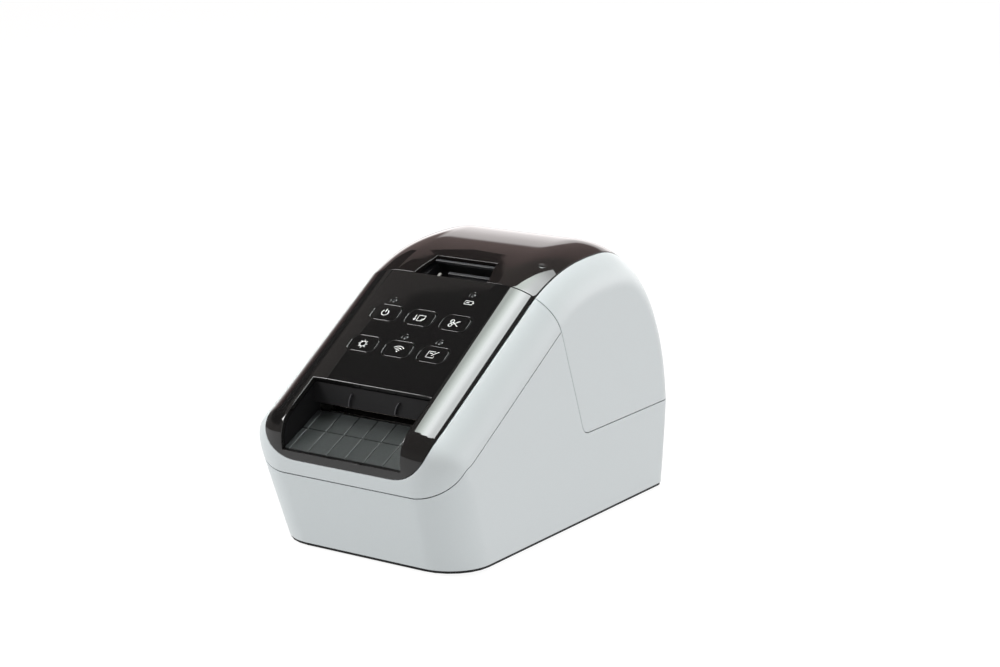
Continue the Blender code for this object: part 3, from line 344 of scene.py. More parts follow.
def make_object(name, points, faces, look):
    """A mesh from points in design millimetres. Coincident points are welded, collapsed faces dropped."""
    ids, welded, index = {}, [], []
    used = {i for face in faces for i in face}
    for i, point in enumerate(points):
        if i not in used:
            index.append(None)
            continue
        key = tuple(round(c, 4) for c in point)
        if key not in ids:
            ids[key] = len(welded)
            welded.append(to_world(point))
        index.append(ids[key])
    kept = []
    for face in faces:
        ring = [index[i] for i in face]
        ring = [v for k, v in enumerate(ring) if v != ring[k - 1]]
        if len(set(ring)) >= 3:
            kept.append(ring)
    mesh = bpy.data.meshes.new(name)
    mesh.from_pydata(welded, [], kept)
    work = bmesh.new()
    work.from_mesh(mesh)
    bmesh.ops.recalc_face_normals(work, faces=work.faces)
    work.to_mesh(mesh)
    work.free()
    mesh.materials.append(LOOKS[look])
    return link(name, mesh)


def apply_modifiers(made):
    graph = bpy.context.evaluated_depsgraph_get()
    result = bpy.data.meshes.new_from_object(made.evaluated_get(graph))
    made.modifiers.clear()
    made.data = result


def boolean(target, tool, operation="DIFFERENCE"):
    modifier = target.modifiers.new("cut", "BOOLEAN")
    modifier.operation = operation
    modifier.solver = "EXACT"
    modifier.object = tool
    apply_modifiers(target)
    bpy.data.objects.remove(tool)


def round_rims(made, width, segments=3, angle=38.0):
    """Rounds every sharp edge, then shades smooth with the large faces kept flat."""
    if width:
        modifier = made.modifiers.new("rims", "BEVEL")
        modifier.width = width * MM
        modifier.segments = segments
        modifier.limit_method = "ANGLE"
        modifier.angle_limit = math.radians(angle)
        modifier.miter_outer = "MITER_ARC"
        apply_modifiers(made)
    made.data.shade_smooth()
    made.data.set_sharp_from_angle(angle=math.radians(42.0))
    modifier = made.modifiers.new("normals", "WEIGHTED_NORMAL")
    modifier.mode = "FACE_AREA"
    modifier.weight = 60
    modifier.keep_sharp = True
    apply_modifiers(made)
    return made


def round_marked_edges(made, points, width):
    """Rounds only the edges that run between the given points."""
    marks = KDTree(len(points))
    for k, point in enumerate(points):
        marks.insert(to_world(point), k)
    marks.balance()
    marked = [marks.find(vertex.co)[2] < 0.002 * MM for vertex in made.data.vertices]
    weights = made.data.attributes.new("bevel_weight_edge", "FLOAT", "EDGE")
    for edge in made.data.edges:
        if all(marked[v] for v in edge.vertices):
            weights.data[edge.index].value = 1.0
    modifier = made.modifiers.new("rim", "BEVEL")
    modifier.width = width * MM
    modifier.segments = 5
    modifier.limit_method = "WEIGHT"
    apply_modifiers(made)
    return made


def place(made, body, slot, *nodes):
    """The piece moves with a body and may stand for CAD nodes. The slot argument is not used."""
    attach(made, body)
    if nodes:
        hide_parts(*nodes)
    return made


def shell(name, outer, inner, look, present=None, wrap=False):
    """A closed shell between two point grids. `present(i, j)` says which cells exist."""
    rows, columns = len(outer), len(outer[0])
    points = [p for row in outer for p in row] + [p for row in inner for p in row]
    lift = rows * columns
    last = columns if wrap else columns - 1
    cells = {(i, j) for i in range(rows - 1) for j in range(last) if present is None or present(i, j)}

    def corner(i, j):
        return i * columns + j % columns

    faces = []
    for i, j in sorted(cells):
        quad = [corner(i, j), corner(i, j + 1), corner(i + 1, j + 1), corner(i + 1, j)]
        faces.append(quad)
        faces.append([v + lift for v in reversed(quad)])
        after = (i, (j + 1) % columns if wrap else j + 1)
        before = (i, (j - 1) % columns if wrap else j - 1)
        for neighbour, a, b in (((i - 1, j), 0, 1), (after, 1, 2), ((i + 1, j), 2, 3), (before, 3, 0)):
            if neighbour not in cells:
                faces.append([quad[b], quad[a], quad[a] + lift, quad[b] + lift])
    return make_object(name, points, faces, look)


def tube(name, loops, look, closed=False):
    """A surface through loops of equally many points. It is closed into a ring or capped at both ends."""
    count, total = len(loops[0]), len(loops)
    faces = []
    for k in range(total if closed else total - 1):
        a, b = k * count, (k + 1) % total * count
        faces += [[a + m, a + (m + 1) % count, b + (m + 1) % count, b + m] for m in range(count)]
    if not closed:
        faces += [list(range(count))[::-1], list(range(count * (total - 1), count * total))]
    return make_object(name, [point for loop in loops for point in loop], faces, look)


def prism(name, outline, low, high, axis, look):
    """An outline extruded along X (outline in y, z), Y (x, z), Z (x, y) or the slope's normal N (x, s)."""
    def point(a, b, c):
        if axis == "N":
            return (a, *on_slope(b, c))
        return {"X": (c, a, b), "Y": (a, c, b), "Z": (a, b, c)}[axis]
    return tube(name, [[point(a, b, level) for a, b in outline] for level in (low, high)], look)


def circle(middle, radius, count=32, start=0.0, turn=2.0 * math.pi):
    return [step(middle, start + turn * k / count, radius) for k in range(count)]


def rounded_rectangle(middle, half_x, half_y, radius, count=8):
    outline = []
    for sx, sy, start in ((1, 1, 0.0), (-1, 1, 0.5), (-1, -1, 1.0), (1, -1, 1.5)):
        corner = (middle[0] + sx * (half_x - radius), middle[1] + sy * (half_y - radius))
        outline += [step(corner, math.pi * (start + 0.5 * k / count), radius) for k in range(count + 1)]
    return outline


def join(name, pieces, look):
    """Joins several objects into one without merging their surfaces."""
    work = bmesh.new()
    for piece in pieces:
        work.from_mesh(piece.data)
        bpy.data.objects.remove(piece)
    mesh = bpy.data.meshes.new(name)
    work.to_mesh(mesh)
    work.free()
    mesh.materials.append(LOOKS[look])
    return link(name, mesh)


# -------- the skin

def bezier(handles, u):
    v = 1.0 - u
    weights = (v ** 3, 3.0 * v * v * u, 3.0 * v * u * u, u ** 3)
    return tuple(sum(w * h[k] for w, h in zip(weights, handles)) for k in range(2))


def on_slope(s, depth=0.0):
    """A point (y, z) on the sloping front, s along it from the lid gap and depth under it."""
    return (GAP[0] + s * ALONG[0] + depth * ALONG[1], GAP[1] + s * ALONG[1] - depth * ALONG[0])


def step(point, angle, length):
    return (point[0] + length * math.cos(angle), point[1] + length * math.sin(angle))


SLOPE_FOOT = on_slope(SLOPE_START)
FRONT_CURVE = (FRONT_SEAM, step(FRONT_SEAM, math.pi / 2 + FRONT_LEAN, FRONT_HANDLES[0]),
               step(SLOPE_FOOT, SLOPE, -FRONT_HANDLES[1]), SLOPE_FOOT)
LID_CURVE = (GAP, step(GAP, LID_START_ANGLE, LID_HANDLES[0]), (CREST[0] - LID_HANDLES[1], CREST[1]), CREST)
REAR_CURVE = (CREST, (CREST[0] + REAR_HANDLES[0], CREST[1]),
              step(REAR_END, REAR_ANGLE, -REAR_HANDLES[1]), REAR_END)


def centre(t):
    """The skin's centre line: 0 to 1 front bulge, 1 to 2 slope, 2 to 3 lid front, 3 to 4 lid rear."""
    if t <= 1.0:
        return bezier(FRONT_CURVE, t)
    if t <= 2.0:
        return on_slope(SLOPE_START * (2.0 - t))
    if t <= 3.0:
        return bezier(LID_CURVE, t - 2.0)
    return bezier(REAR_CURVE, t - 3.0)


def heading(t):
    low, high = (0.0, 2.0) if t <= 2.0 else (2.0 + 1e-6, 4.0)
    a = centre(max(t - 1e-4, low))
    b = centre(min(t + 1e-4, high))
    return math.atan2(b[1] - a[1], b[0] - a[0])


def drop_angle(t):
    """The direction in which the shoulders fall away from the centre line."""
    if t <= 2.0:
        return mix(0.0, SLOPE - math.pi / 2, min(max((t - 0.08) / 1.06, 0.0), 1.0))
    return mix(SLOPE - math.pi / 2, heading(t) - math.pi / 2, smooth((t - 2.0) / 0.5))


def rounding(t):
    """The half axes of the shoulder's elliptical section, across and down."""
    if t <= 3.0:
        return mix(CORNER_R, SHOULDER_A, smooth((t - 0.1) / 1.1)), SHOULDER_B
    u = smooth((t - 3.0) / 0.85)
    return mix(SHOULDER_A, REAR_R, u), mix(SHOULDER_B, REAR_R, u)


def half_width(z):
    return HALF_WIDTH - FOOT_INSET * (max(LEAN_TOP - z, 0.0) / (LEAN_TOP - 2.0)) ** 1.6


def across(t, x):
    """The skin's cross coordinate at a given x."""
    a = rounding(t)[0]
    flat = HALF_WIDTH - a
    if abs(x) <= flat:
        return x
    return math.copysign(flat + a * math.asin(min((abs(x) - flat) / a, 1.0)), x)


def side(t):
    """The cross coordinate where the shoulder meets the side wall."""
    a = rounding(t)[0]
    return HALF_WIDTH - a + a * math.pi / 2


def at_turn(t, turn):
    a = rounding(t)[0]
    return HALF_WIDTH - a + a * turn


def skin(t, w):
    a, b = rounding(t)
    flat = HALF_WIDTH - a
    turn = max(abs(w) - flat, 0.0) / a
    drop = b * (1.0 - math.cos(turn))
    angle = drop_angle(t)
    y, z = centre(t)
    y += drop * math.cos(angle)
    z += drop * math.sin(angle)
    x = (min(abs(w), flat) + a * math.sin(turn)) * half_width(z) / HALF_WIDTH
    return (math.copysign(x, w), y, z)


def under(t, w, depth):
    """A point at a depth under the skin, along the skin's own normal."""
    e = 1e-3
    low, high = (-0.2, 2.0) if t <= 2.0 else (2.0 + 1e-6, 4.0)
    t1, t2 = max(t - e, low), min(t + e, high)
    w1, w2 = max(w - 0.05, -side(t)), min(w + 0.05, side(t))
    along = Vector(skin(t2, w)) - Vector(skin(t1, w))
    cross = Vector(skin(t, w2)) - Vector(skin(t, w1))
    normal = cross.cross(along).normalized()
    return tuple(Vector(skin(t, w)) - depth * normal)


def solve(low, high, above):
    """The parameter between low and high where above() turns true."""
    for _ in range(36):
        middle = (low + high) / 2.0
        if above(middle):
            high = middle
        else:
            low = middle
    return (low + high) / 2.0


def past_lid_seam(point, offset=0.0):
    dy = point[1] - GAP[0]
    dz = point[2] - GAP[1]
    return dy * math.cos(LID_SEAM_LEAN) + dz * math.sin(LID_SEAM_LEAN) - offset


def seam_t(w_of_t, offset):
    """Where a line of the skin crosses the lid's front seam."""
    return solve(1.6, 2.6, lambda t: past_lid_seam(skin(t, w_of_t(t)), offset) > 0.0)


def skin_row(ts, xs):
    """The (t, w) pairs of a row that is given by each point's t and x."""
    return [(t, across(t, x)) for t, x in zip(ts, xs)]


def seam_row(xs, offset):
    return skin_row([seam_t(lambda t, x=x: across(t, x), offset) for x in xs], xs)


def edge_t(x, z):
    """Where the skin at a given x reaches a given height on the front."""
    return solve(-0.1, 1.5, lambda t: skin(t, across(t, x))[2] > z)


def corner_seam_t(turn, offset):
    level = FRONT_SEAM[1] + SEAM_RISE * (1.0 - math.cos(turn)) + offset
    return solve(-0.1, 1.3, lambda t: skin(t, at_turn(t, turn))[2] > level)


def lid_seam_corner(offset, count=10):
    """The rounded lower front corner of the lid's side seam, as (y, z)."""
    reach = LID_SEAM_R * math.tan((math.pi / 2 - LID_SEAM_LEAN) / 2)
    knee_y = GAP[0] + (GAP[1] - LID_BOTTOM) * math.tan(LID_SEAM_LEAN)
    middle = (knee_y + reach, LID_BOTTOM + LID_SEAM_R)
    start = math.pi + LID_SEAM_LEAN
    return [step(middle, turn, LID_SEAM_R - offset) for turn in spread(start, 1.5 * math.pi, count)]


def grid_on_skin(rows):
    """Outer and inner point grids, a wall's thickness apart, from rows of (t, w) pairs."""
    return [[[under(t, w, depth) for t, w in row] for row in rows] for depth in (0.0, WALL)]


# -------- case

def case_stations():
    """The case wall's right-hand columns, front to back. Each maps 0..1 to a point and has a normal."""
    stations = []
    low_gap = -GAP_W / 2

    def front(x):
        def at(v):
            z = mix(CASE_BOTTOM, FRONT_SEAM[1] + low_gap, v)
            return (x, FRONT_SEAM[0] + CASE_LEAN * (FRONT_SEAM[1] - z), z)
        return at

    def plan_corner(z, turn):
        wide = half_width(z) - CORNER_R
        front_y = FRONT_SEAM[0] + CASE_LEAN * (FRONT_SEAM[1] - z) + CORNER_R
        return (wide + CORNER_R * math.sin(turn), front_y - CORNER_R * math.cos(turn), z)

    def corner(turn):
        top = corner_seam_t(turn, low_gap)

        def at(v):
            if top <= 0.0:
                return plan_corner(mix(CASE_BOTTOM, FRONT_SEAM[1] + low_gap, v), turn)
            if v <= SEAM_SHARE:
                return plan_corner(mix(CASE_BOTTOM, FRONT_SEAM[1], v / SEAM_SHARE), turn)
            t = mix(0.0, top, (v - SEAM_SHARE) / (1.0 - SEAM_SHARE))
            return skin(t, at_turn(t, turn))
        return at

    def side_wall(foot_y, head_y, head_z, knee_y):
        def at(v):
            if v <= SEAM_SHARE:
                u = v / SEAM_SHARE
                y, z = mix(foot_y, knee_y, u), mix(CASE_BOTTOM, FRONT_SEAM[1], u)
            else:
                u = (v - SEAM_SHARE) / (1.0 - SEAM_SHARE)
                y, z = mix(knee_y, head_y, u), mix(FRONT_SEAM[1], head_z, u)
            return (half_width(z), y, z)
        return at

    for x in (0.0, 12.0, 24.0, 32.0):
        stations.append((front(x), (0.0, -1.0)))
    for turn in spread(0.0, math.pi / 2, 28):
        stations.append((corner(turn), (math.sin(turn), -math.cos(turn))))
    heads = []
    first = corner_seam_t(math.pi / 2, low_gap)
    last = seam_t(side, low_gap)
    for t in spread(first, last, 34)[1:]:
        y, z = skin(t, side(t))[1:]
        angle = drop_angle(t)
        heads.append((y - low_gap * math.cos(angle), z - low_gap * math.sin(angle)))
    seam = lid_seam_corner(low_gap)
    heads += between(heads[-1], seam[0], 8) + seam + between(seam[-1], (97.0, LID_BOTTOM + low_gap), 8)
    for k, (y, z) in enumerate(heads):
        foot_y = max(y, FOOT_STEP * k + FOOT_START)
        knee_y = max(y, FOOT_STEP * k + KNEE_START)
        stations.append((side_wall(foot_y, y, z, knee_y), (1.0, 0.0)))

    def rear_corner(turn):
        def at(v):
            z = mix(CASE_BOTTOM, LID_BOTTOM + low_gap, v)
            middle = (half_width(z) - REAR_CORNER_R, BACK_Y - REAR_CORNER_R)
            return (*step(middle, turn, REAR_CORNER_R), z)
        return at

    for turn in spread(0.0, math.pi / 2, 10):
        stations.append((rear_corner(turn), (math.cos(turn), math.sin(turn))))
    for x in (36.0, 18.0, 0.0):
        def rear(v, x=x):
            return (x, BACK_Y, mix(CASE_BOTTOM, LID_BOTTOM + low_gap, v))
        stations.append((rear, (0.0, 1.0)))
    return stations


def make_lower_case():
    right = case_stations()
    levels = spread(0.0, SEAM_SHARE, 12) + spread(SEAM_SHARE, 1.0, 8)[1:]
    outer, inner = [], []
    for v in levels:
        row, back = [], []
        for sign in (1, -1):
            for at, (nx, ny) in (right if sign == 1 else right[-2:0:-1]):
                x, y, z = at(v)
                row.append((sign * x, y, z))
                back.append((sign * (x - WALL * nx), y - WALL * ny, z))
        outer.append(row)
        inner.append(back)
    case = shell("case_shell", outer, inner, "silver", wrap=True)
    for node in ("usb_port", "ac_inlet"):
        low, high = (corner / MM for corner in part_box(node))
        outline = rounded_rectangle(((low.x + high.x) / 2, (low.z + high.z) / 2),
                                    (high.x - low.x) / 2 + FIT, (high.z - low.z) / 2 + FIT, 1.0, 4)
        boolean(case, prism("hole", outline, 100.0, 112.0, "Y", "silver"))
    round_rims(case, 0.35)
    return place(case, "body", "silver", "lower_case")


def make_front_frame():
    half = GAP_W / 2
    columns = 16
    inner_line = lambda t: across(t, EDGE_X + half)
    outer_line = lambda t: side(t) - half
    seam_end = corner_seam_t(math.pi / 2, half)
    bend = edge_t(EDGE_X + half, PANEL_BOTTOM + PANEL_CORNER_R)
    ts_in = spread(seam_t(inner_line, -half), bend, 44)
    ts_out = spread(seam_t(outer_line, -half), seam_end, 44)
    pairs = [((a, inner_line(a)), (b, outer_line(b))) for a, b in zip(ts_in, ts_out)]
    for turn in spread(0.0, math.pi / 2, 26)[1:]:
        x, z = step((PANEL_CORNER_X, PANEL_BOTTOM + PANEL_CORNER_R), -turn, PANEL_CORNER_R + half)
        t_in = edge_t(x, z)
        t_out = corner_seam_t(math.pi / 2 - turn, half)
        pairs.append(((t_in, across(t_in, x)), (t_out, at_turn(t_out, math.pi / 2 - turn))))
    edge_in, edge_out = pairs[-1]
    for k in range(1, 7):
        pairs.append(((edge_in[0], edge_in[1] * (1 - k / 6)), (edge_out[0], edge_out[1] * (1 - k / 6))))
    half_rows = []
    for k, (inside, outside) in enumerate(pairs):
        row = [inside] + between(inside, outside, columns) + [outside]
        if k == 0:
            row = [(seam_t(lambda t, w=w: w, -half), w) for _, w in row]
        half_rows.append(row)
    other = [[(t, -w) for t, w in row] for row in half_rows[-2::-1]]
    outer, inner = grid_on_skin(half_rows + other)
    made = shell("frame_shell", outer, inner, "silver")
    round_rims(made, 0.35)
    return place(made, "body", "silver", "front_frame")


# -------- panel

def panel_half_width(z):
    rise = PANEL_BOTTOM + PANEL_CORNER_R - z
    if rise <= 0.0:
        return EDGE_X
    return PANEL_CORNER_X + math.sqrt(max(PANEL_CORNER_R ** 2 - rise ** 2, 0.0))


def make_front_panel():
    half = GAP_W / 2
    edge = EDGE_X - half
    outside = spread(OUTLET_X, edge, 14)
    xs = [-x for x in outside[::-1]] + spread(-OUTLET_X, OUTLET_X, 24)[1:-1] + outside
    corner_z = PANEL_BOTTOM + PANEL_CORNER_R
    turns = spread(math.pi / 2, 0.0, 22)
    levels = [corner_z - (PANEL_CORNER_R - half) * math.sin(turn) for turn in turns[:1] + turns[3:]]
    sill = min(range(len(levels)), key=lambda k: abs(levels[k] - OUTLET_SILL))
    levels[sill] = OUTLET_SILL
    rows = []
    for z in levels:
        limit = min(panel_half_width(z - (half if z < corner_z - 1.0 else 0.0)), edge)
        inner_limit = OUTLET_X if z >= OUTLET_SILL else OUTLET_X * limit / panel_half_width(OUTLET_SILL)
        placed = []
        for x in xs:
            size = abs(x)
            if size <= OUTLET_X:
                size *= inner_limit / OUTLET_X
            else:
                size = mix(inner_limit, limit, (size - OUTLET_X) / (edge - OUTLET_X))
            placed.append(math.copysign(size, x))
        rows.append(skin_row([edge_t(abs(x), z) for x in placed], placed))
    lip_t = 2.0 - OUTLET_TOP / SLOPE_START
    last_row = rows[-1]
    rows += [skin_row([mix(t, lip_t, k / 8) for t, _ in last_row], xs) for k in range(1, 9)]
    rows += [skin_row([t] * len(xs), xs) for t in spread(lip_t, 1.96, 40)[1:]]
    rows.append(seam_row(xs, -half))
    top = len(levels) - 1 + 8

    def present(i, j):
        middle = (xs[j] + xs[j + 1]) / 2
        return not (abs(middle) < OUTLET_X and sill <= i < top)

    outer, inner = grid_on_skin(rows)
    panel = shell("panel_shell", outer, inner, "gloss_black", present)
    left, right = len(outside) - 1, len(xs) - len(outside)
    rim = [row[j] for row in outer[sill + 1:top + 1] for j in (left, right)] + outer[top][left:right + 1]
    round_rims(round_marked_edges(panel, rim, 0.75), 0.28)
    keys = [(k * KEY_PITCH, row) for row in KEY_ROWS for k in (-1, 0, 1)]
    outlines = [lambda out, at=at: rounded_rectangle(at, *(reach + FIT + out for reach in KEY_HALF),
                                                     KEY_CORNER + FIT + out) for at in keys]
    outlines += [lambda out, at=at: circle(at, LED_R + FIT + out) for at in LED_PLACES]
    for outline_at in outlines:
        boolean(panel, flared_hole(outline_at))
    round_rims(panel, 0.0)
    return place(panel, "body", "gloss_black", "front_panel")


def flared_hole(outline_at, radius=0.35):
    """A cutter along the slope's normal that leaves a rounded rim of the given radius."""
    levels = [(-1.0, radius)] + [(radius * (1.0 - math.cos(a)), radius * (1.0 - math.sin(a)))
                                 for a in spread(0.02, math.pi / 2, 5)] + [(4.0, 0.0)]
    loops = [[(x, *on_slope(s, depth)) for x, s in outline_at(out)] for depth, out in levels]
    return tube("hole", loops, "gloss_black")


# -------- keys, lights and icons

def make_keys():
    for row, names in zip(KEY_ROWS, KEY_NAMES):
        for k, name in zip((-1, 0, 1), names):
            outline = rounded_rectangle((k * KEY_PITCH, row), *KEY_HALF, KEY_CORNER)
            cap = prism(f"{name}_cap", outline, 0.0, 3.0, "N", "gloss_black")
            round_rims(cap, 0.4, 4)
            place(cap, name, "gloss_black", name)


def make_lights():
    for number, (x, s) in enumerate(LED_PLACES, 1):
        rings = [(LED_R, BOARD_DEPTH - FIT), (LED_R, 0.5)]
        rings += [(LED_R * math.cos(a), 0.5 - 0.45 * math.sin(a)) for a in spread(0.0, 1.45, 6)[1:]]
        loops = [[(a, *on_slope(b, depth)) for a, b in circle((x, s), radius, 28)]
                 for radius, depth in rings]
        lens = tube(f"lens_{number}", loops, "light")
        round_rims(lens, 0.0)
        place(lens, "body", "light", f"light_guide_{number}")


def strokes(name, middle, paths):
    """Thin printed lines on the slope. Each path is a run of (x, s) points round a middle."""
    pieces = []
    for path in paths:
        sections = []
        closed = len(path) > 2 and math.dist(path[0], path[-1]) < 1e-6
        count = len(path) - 1 if closed else len(path)
        for k in range(count):
            before = path[(k - 1) % count] if closed or k else path[k]
            after = path[(k + 1) % count] if closed or k < count - 1 else path[k]
            dx, ds = after[0] - before[0], after[1] - before[1]
            length = math.hypot(dx, ds) or 1.0
            x, s = middle[0] + path[k][0], middle[1] + path[k][1]
            nx, ns = -ds / length * ICON_STROKE / 2, dx / length * ICON_STROKE / 2
            sections.append([(x + sign * nx, *on_slope(s + sign * ns, depth))
                             for sign, depth in ((1, -0.02), (-1, -0.02), (-1, 0.03), (1, 0.03))])
        pieces.append(tube("stroke", sections, "print", closed))
    return join(name, pieces, "print")


def arc(middle, radius, start, end, count=16):
    return [step(middle, math.radians(mix(start, end, k / count)), radius) for k in range(count + 1)]


def ring(middle, radius, count=24):
    return arc(middle, radius, 0.0, 360.0, count)


def box_path(x0, s0, x1, s1):
    return [(x0, s0), (x1, s0), (x1, s1), (x0, s1), (x0, s0)]


def make_icons():
    """Generic signs. Each row is the body it moves with, its name, its middle and its lines."""
    gear_turns = [math.radians(degrees) for degrees in range(0, 360, 45)]
    icons = (
        ("power_button", "power_icon", (-22.4, -30.9), [arc((0, 0), 2.0, 128, 412), [(0, 0.3), (0, 2.7)]]),
        ("feed_button", "feed_icon", (-0.8, -31.1),
         [[(-2.5, 2.0), (-2.5, -1.6)], [(-3.3, -0.7), (-2.5, -1.8), (-1.7, -0.7)],
          [(-0.8, 1.9), (3.2, 1.9), (3.2, -0.4), (1.9, -1.9), (-0.8, -1.9), (-0.8, 1.9)],
          [(1.9, -1.9), (1.9, -0.4), (3.2, -0.4)]]),
        ("cut_button", "cut_icon", (21.0, -31.1),
         [ring((-1.9, -1.4), 1.0), ring((-1.9, 1.4), 1.0),
          [(-1.1, -0.8), (2.6, 1.8)], [(-1.1, 0.8), (2.6, -1.8)]]),
        ("setup_button", "setup_icon", (-22.0, -54.2),
         [ring((0, 0), 1.7)] +
         [[step((0, 0), turn, 1.7), step((0, 0), turn, 2.8)] for turn in gear_turns]),
        ("wireless_button", "wireless_icon", (0.0, -55.9),
         [arc((0, 0), radius, 42, 138) for radius in (1.4, 2.7, 4.0)] + [ring((0, 0.2), 0.2, 10)]),
        ("editor_button", "editor_icon", (21.0, -54.0),
         [[(0.9, 2.1), (-3.0, 2.1), (-3.0, -2.1), (1.4, -2.1), (1.4, -1.0)], [(-0.4, -0.7), (2.9, 2.3)],
          [(-2.0, 0.9), (-0.2, 0.9)]]),
        ("body", "battery_icon", (21.0, -15.7),
         [box_path(-2.6, -1.2, 2.1, 1.2), [(2.6, -0.5), (2.6, 0.5)], [(-1.6, 0.0), (0.2, 0.0)]]),
    )
    for body, name, middle, paths in icons:
        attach(strokes(name, middle, paths), body)


# -------- label outlet and recess

def tray_point(u, depth=0.0):
    y = mix(TRAY_FRONT[0], TRAY_REAR[0], u)
    z = mix(TRAY_FRONT[1], TRAY_REAR[1], u)
    tilt = math.atan2(TRAY_REAR[1] - TRAY_FRONT[1], TRAY_REAR[0] - TRAY_FRONT[0])
    return (y + depth * math.sin(tilt), z - depth * math.cos(tilt))


def make_label_tray():
    wide = OUTLET_X - FIT
    xs = [-wide]
    for k in range(-3, 4):
        x = GROOVE_SHIFT + k * GROOVE_PITCH
        if abs(x) < wide - 1.0:
            bottom = GROOVE_HALF - GROOVE_WALL
            xs += [x - GROOVE_LIP, x - GROOVE_HALF, x - bottom, x + bottom, x + GROOVE_HALF]
    xs.append(wide)

    def sink(x, u):
        """How deep the tray's surface lies: a softened lip on each groove's left, then the groove."""
        nearest = min((x - GROOVE_SHIFT - k * GROOVE_PITCH for k in range(-3, 4)), key=abs)
        if abs(u - CROSS_GROOVE) < 0.01 or abs(nearest) < GROOVE_HALF - 0.03:
            return GROOVE_DEPTH
        return LIP_DROP if abs(nearest + GROOVE_HALF) < 1e-6 else 0.0

    us = spread(0.05, CROSS_GROOVE - 0.014, 4)
    us += [CROSS_GROOVE + shift for shift in (-0.006, 0.006, 0.014)]
    us += spread(CROSS_GROOVE + 0.1, 1.0, 3)
    outer = [[(x, *tray_point(u, sink(x, u))) for x in xs] for u in us]
    inner = [[(x, *tray_point(u, TRAY_THICKNESS)) for x in xs] for u in us]
    tray = shell("tray", outer, inner, "charcoal")
    tray.data.shade_flat()
    place(tray, "body", "charcoal", "label_tray")


def make_outlet_housing():
    """Cheeks, rear wall and floor of the outlet, with the two ribs that lead the label."""
    inside, outside = OUTLET_X + FIT, OUTLET_X + FIT + 1.8
    deep = WALL + FIT + 0.6
    top = []
    for t in spread(edge_t(OUTLET_X, OUTLET_SILL + 1.5), 2.0 - OUTLET_TOP / SLOPE_START, 20):
        top.append(under(t, across(t, outside), deep)[1:])
    rear_top = on_slope(OUTLET_TOP + 3.0, deep + 0.3)
    low_front = tray_point(0.07, TRAY_THICKNESS + 1.0)
    low_rear = tray_point(1.04, TRAY_THICKNESS + 1.0)
    outline = top + [rear_top, low_rear, low_front]
    whole = prism("housing", outline, inside, outside, "X", "black")
    wall_foot = tray_point(1.0, -SLOT_HEIGHT)
    front_top = on_slope(OUTLET_TOP, deep + 0.3)
    parts = [prism("cheek", outline, -outside, -inside, "X", "black"),
             prism("wall", [front_top, rear_top, (rear_top[0] + 1.0, wall_foot[1]), wall_foot],
                   -inside - 0.9, inside + 0.9, "X", "black"),
             prism("floor", [tray_point(0.1, TRAY_THICKNESS + FIT), tray_point(1.0, TRAY_THICKNESS + FIT),
                             tray_point(1.0, TRAY_THICKNESS + 1.0), tray_point(0.1, TRAY_THICKNESS + 1.0)],
                   -inside - 0.9, inside + 0.9, "X", "black")]
    for part in parts:
        boolean(whole, part, "UNION")
    round_rims(whole, 0.12, 2)
    place(whole, "body", "black", "outlet_housing")
    ribs = []
    for x, lean, low, high in OUTLET_RIBS:
        front_y = on_slope(OUTLET_TOP, deep + 0.3)[0]
        edge = [(x + lean * (u * 2.0 - 1.0) - RIB_BOW * math.sin(math.pi * u), mix(low, high, u))
                for u in spread(0.0, 1.0, 10)]
        outline = edge + [(a + RIB_WIDTH, b) for a, b in edge[::-1]]
        ribs.append(prism("rib", outline, front_y - 1.6, front_y + 1.2, "Y", "bar"))
    place(round_rims(join("outlet_ribs", ribs, "bar"), 0.2, 2), "body", "charcoal")


def make_finger_recess():
    """The pocket under the window's notch. Its flanks slope down from the notch's edge to the pit."""
    rim = NOTCH[0] + 3.0
    xs = (-rim, -rim + 2.0, -20.6, -20.0, -19.4, 19.4, 20.0, 20.6, rim - 2.0, rim)
    pit_end = NOTCH[2] - 1.6
    lines = ((-RECESS_FRONT, 2.7), (-0.5, 2.7), (0.2, 13.0), (pit_end, 13.0), (pit_end + 0.6, 6.2),
             (pit_end + 2.2, 6.0), (RECESS_END, 6.8))
    outer, inner = [], []
    for s, depth in lines:
        row, back = [], []
        for k, x in enumerate(xs):
            shelf = mix(2.7, 6.6, (s + RECESS_FRONT) / (RECESS_END + RECESS_FRONT))
            slant = mix(1.6, 0.0, min((abs(x) - 20.0) / (rim - 22.0), 1.0)) if abs(x) > 19.9 else 1.6
            d = depth if depth > 7.0 and 3 < k < 6 else max(shelf + (slant if s > 0.0 else 0.0), 2.7)
            row.append((x, *on_slope(s, d)))
            back.append((x, *on_slope(s, d + 1.6)))
        outer.append(row)
        inner.append(back)
    pocket = shell("pocket", outer, inner, "black")
    round_rims(pocket, 0.25, 2)
    place(pocket, "body", "black", "finger_recess")
    bars = [slope_bar((-18.6, 18.6), (13.4, 14.8), (3.2, 4.6)),
            slope_bar((-8.0, 18.8), (7.4, 9.2), (5.6, 7.2))]
    place(round_rims(join("recess_bars", bars, "bar"), 0.3, 3), "body", "black")
    latch = slope_bar((-11.6, -10.0), (0.4, 5.6), (3.6, 4.8))
    latch.data.materials[0] = LOOKS["latch"]
    latch.name = "lid_latch_rib"
    place(round_rims(latch, 0.3, 3), "body", "light")


def slope_bar(x, s, depth):
    """A bar aligned with the sloping front."""
    outline = [(x[0], s[0]), (x[1], s[0]), (x[1], s[1]), (x[0], s[1])]
    return prism("bar", outline, depth[0], depth[1], "N", "bar")


# -------- lid

def rear_w(t, fraction):
    return mix(across(t, EDGE_X + GAP_W / 2), side(t), fraction)


def lid_edge(fraction, level):
    return solve(3.3, 4.0, lambda t: skin(t, rear_w(t, fraction))[2] < level)


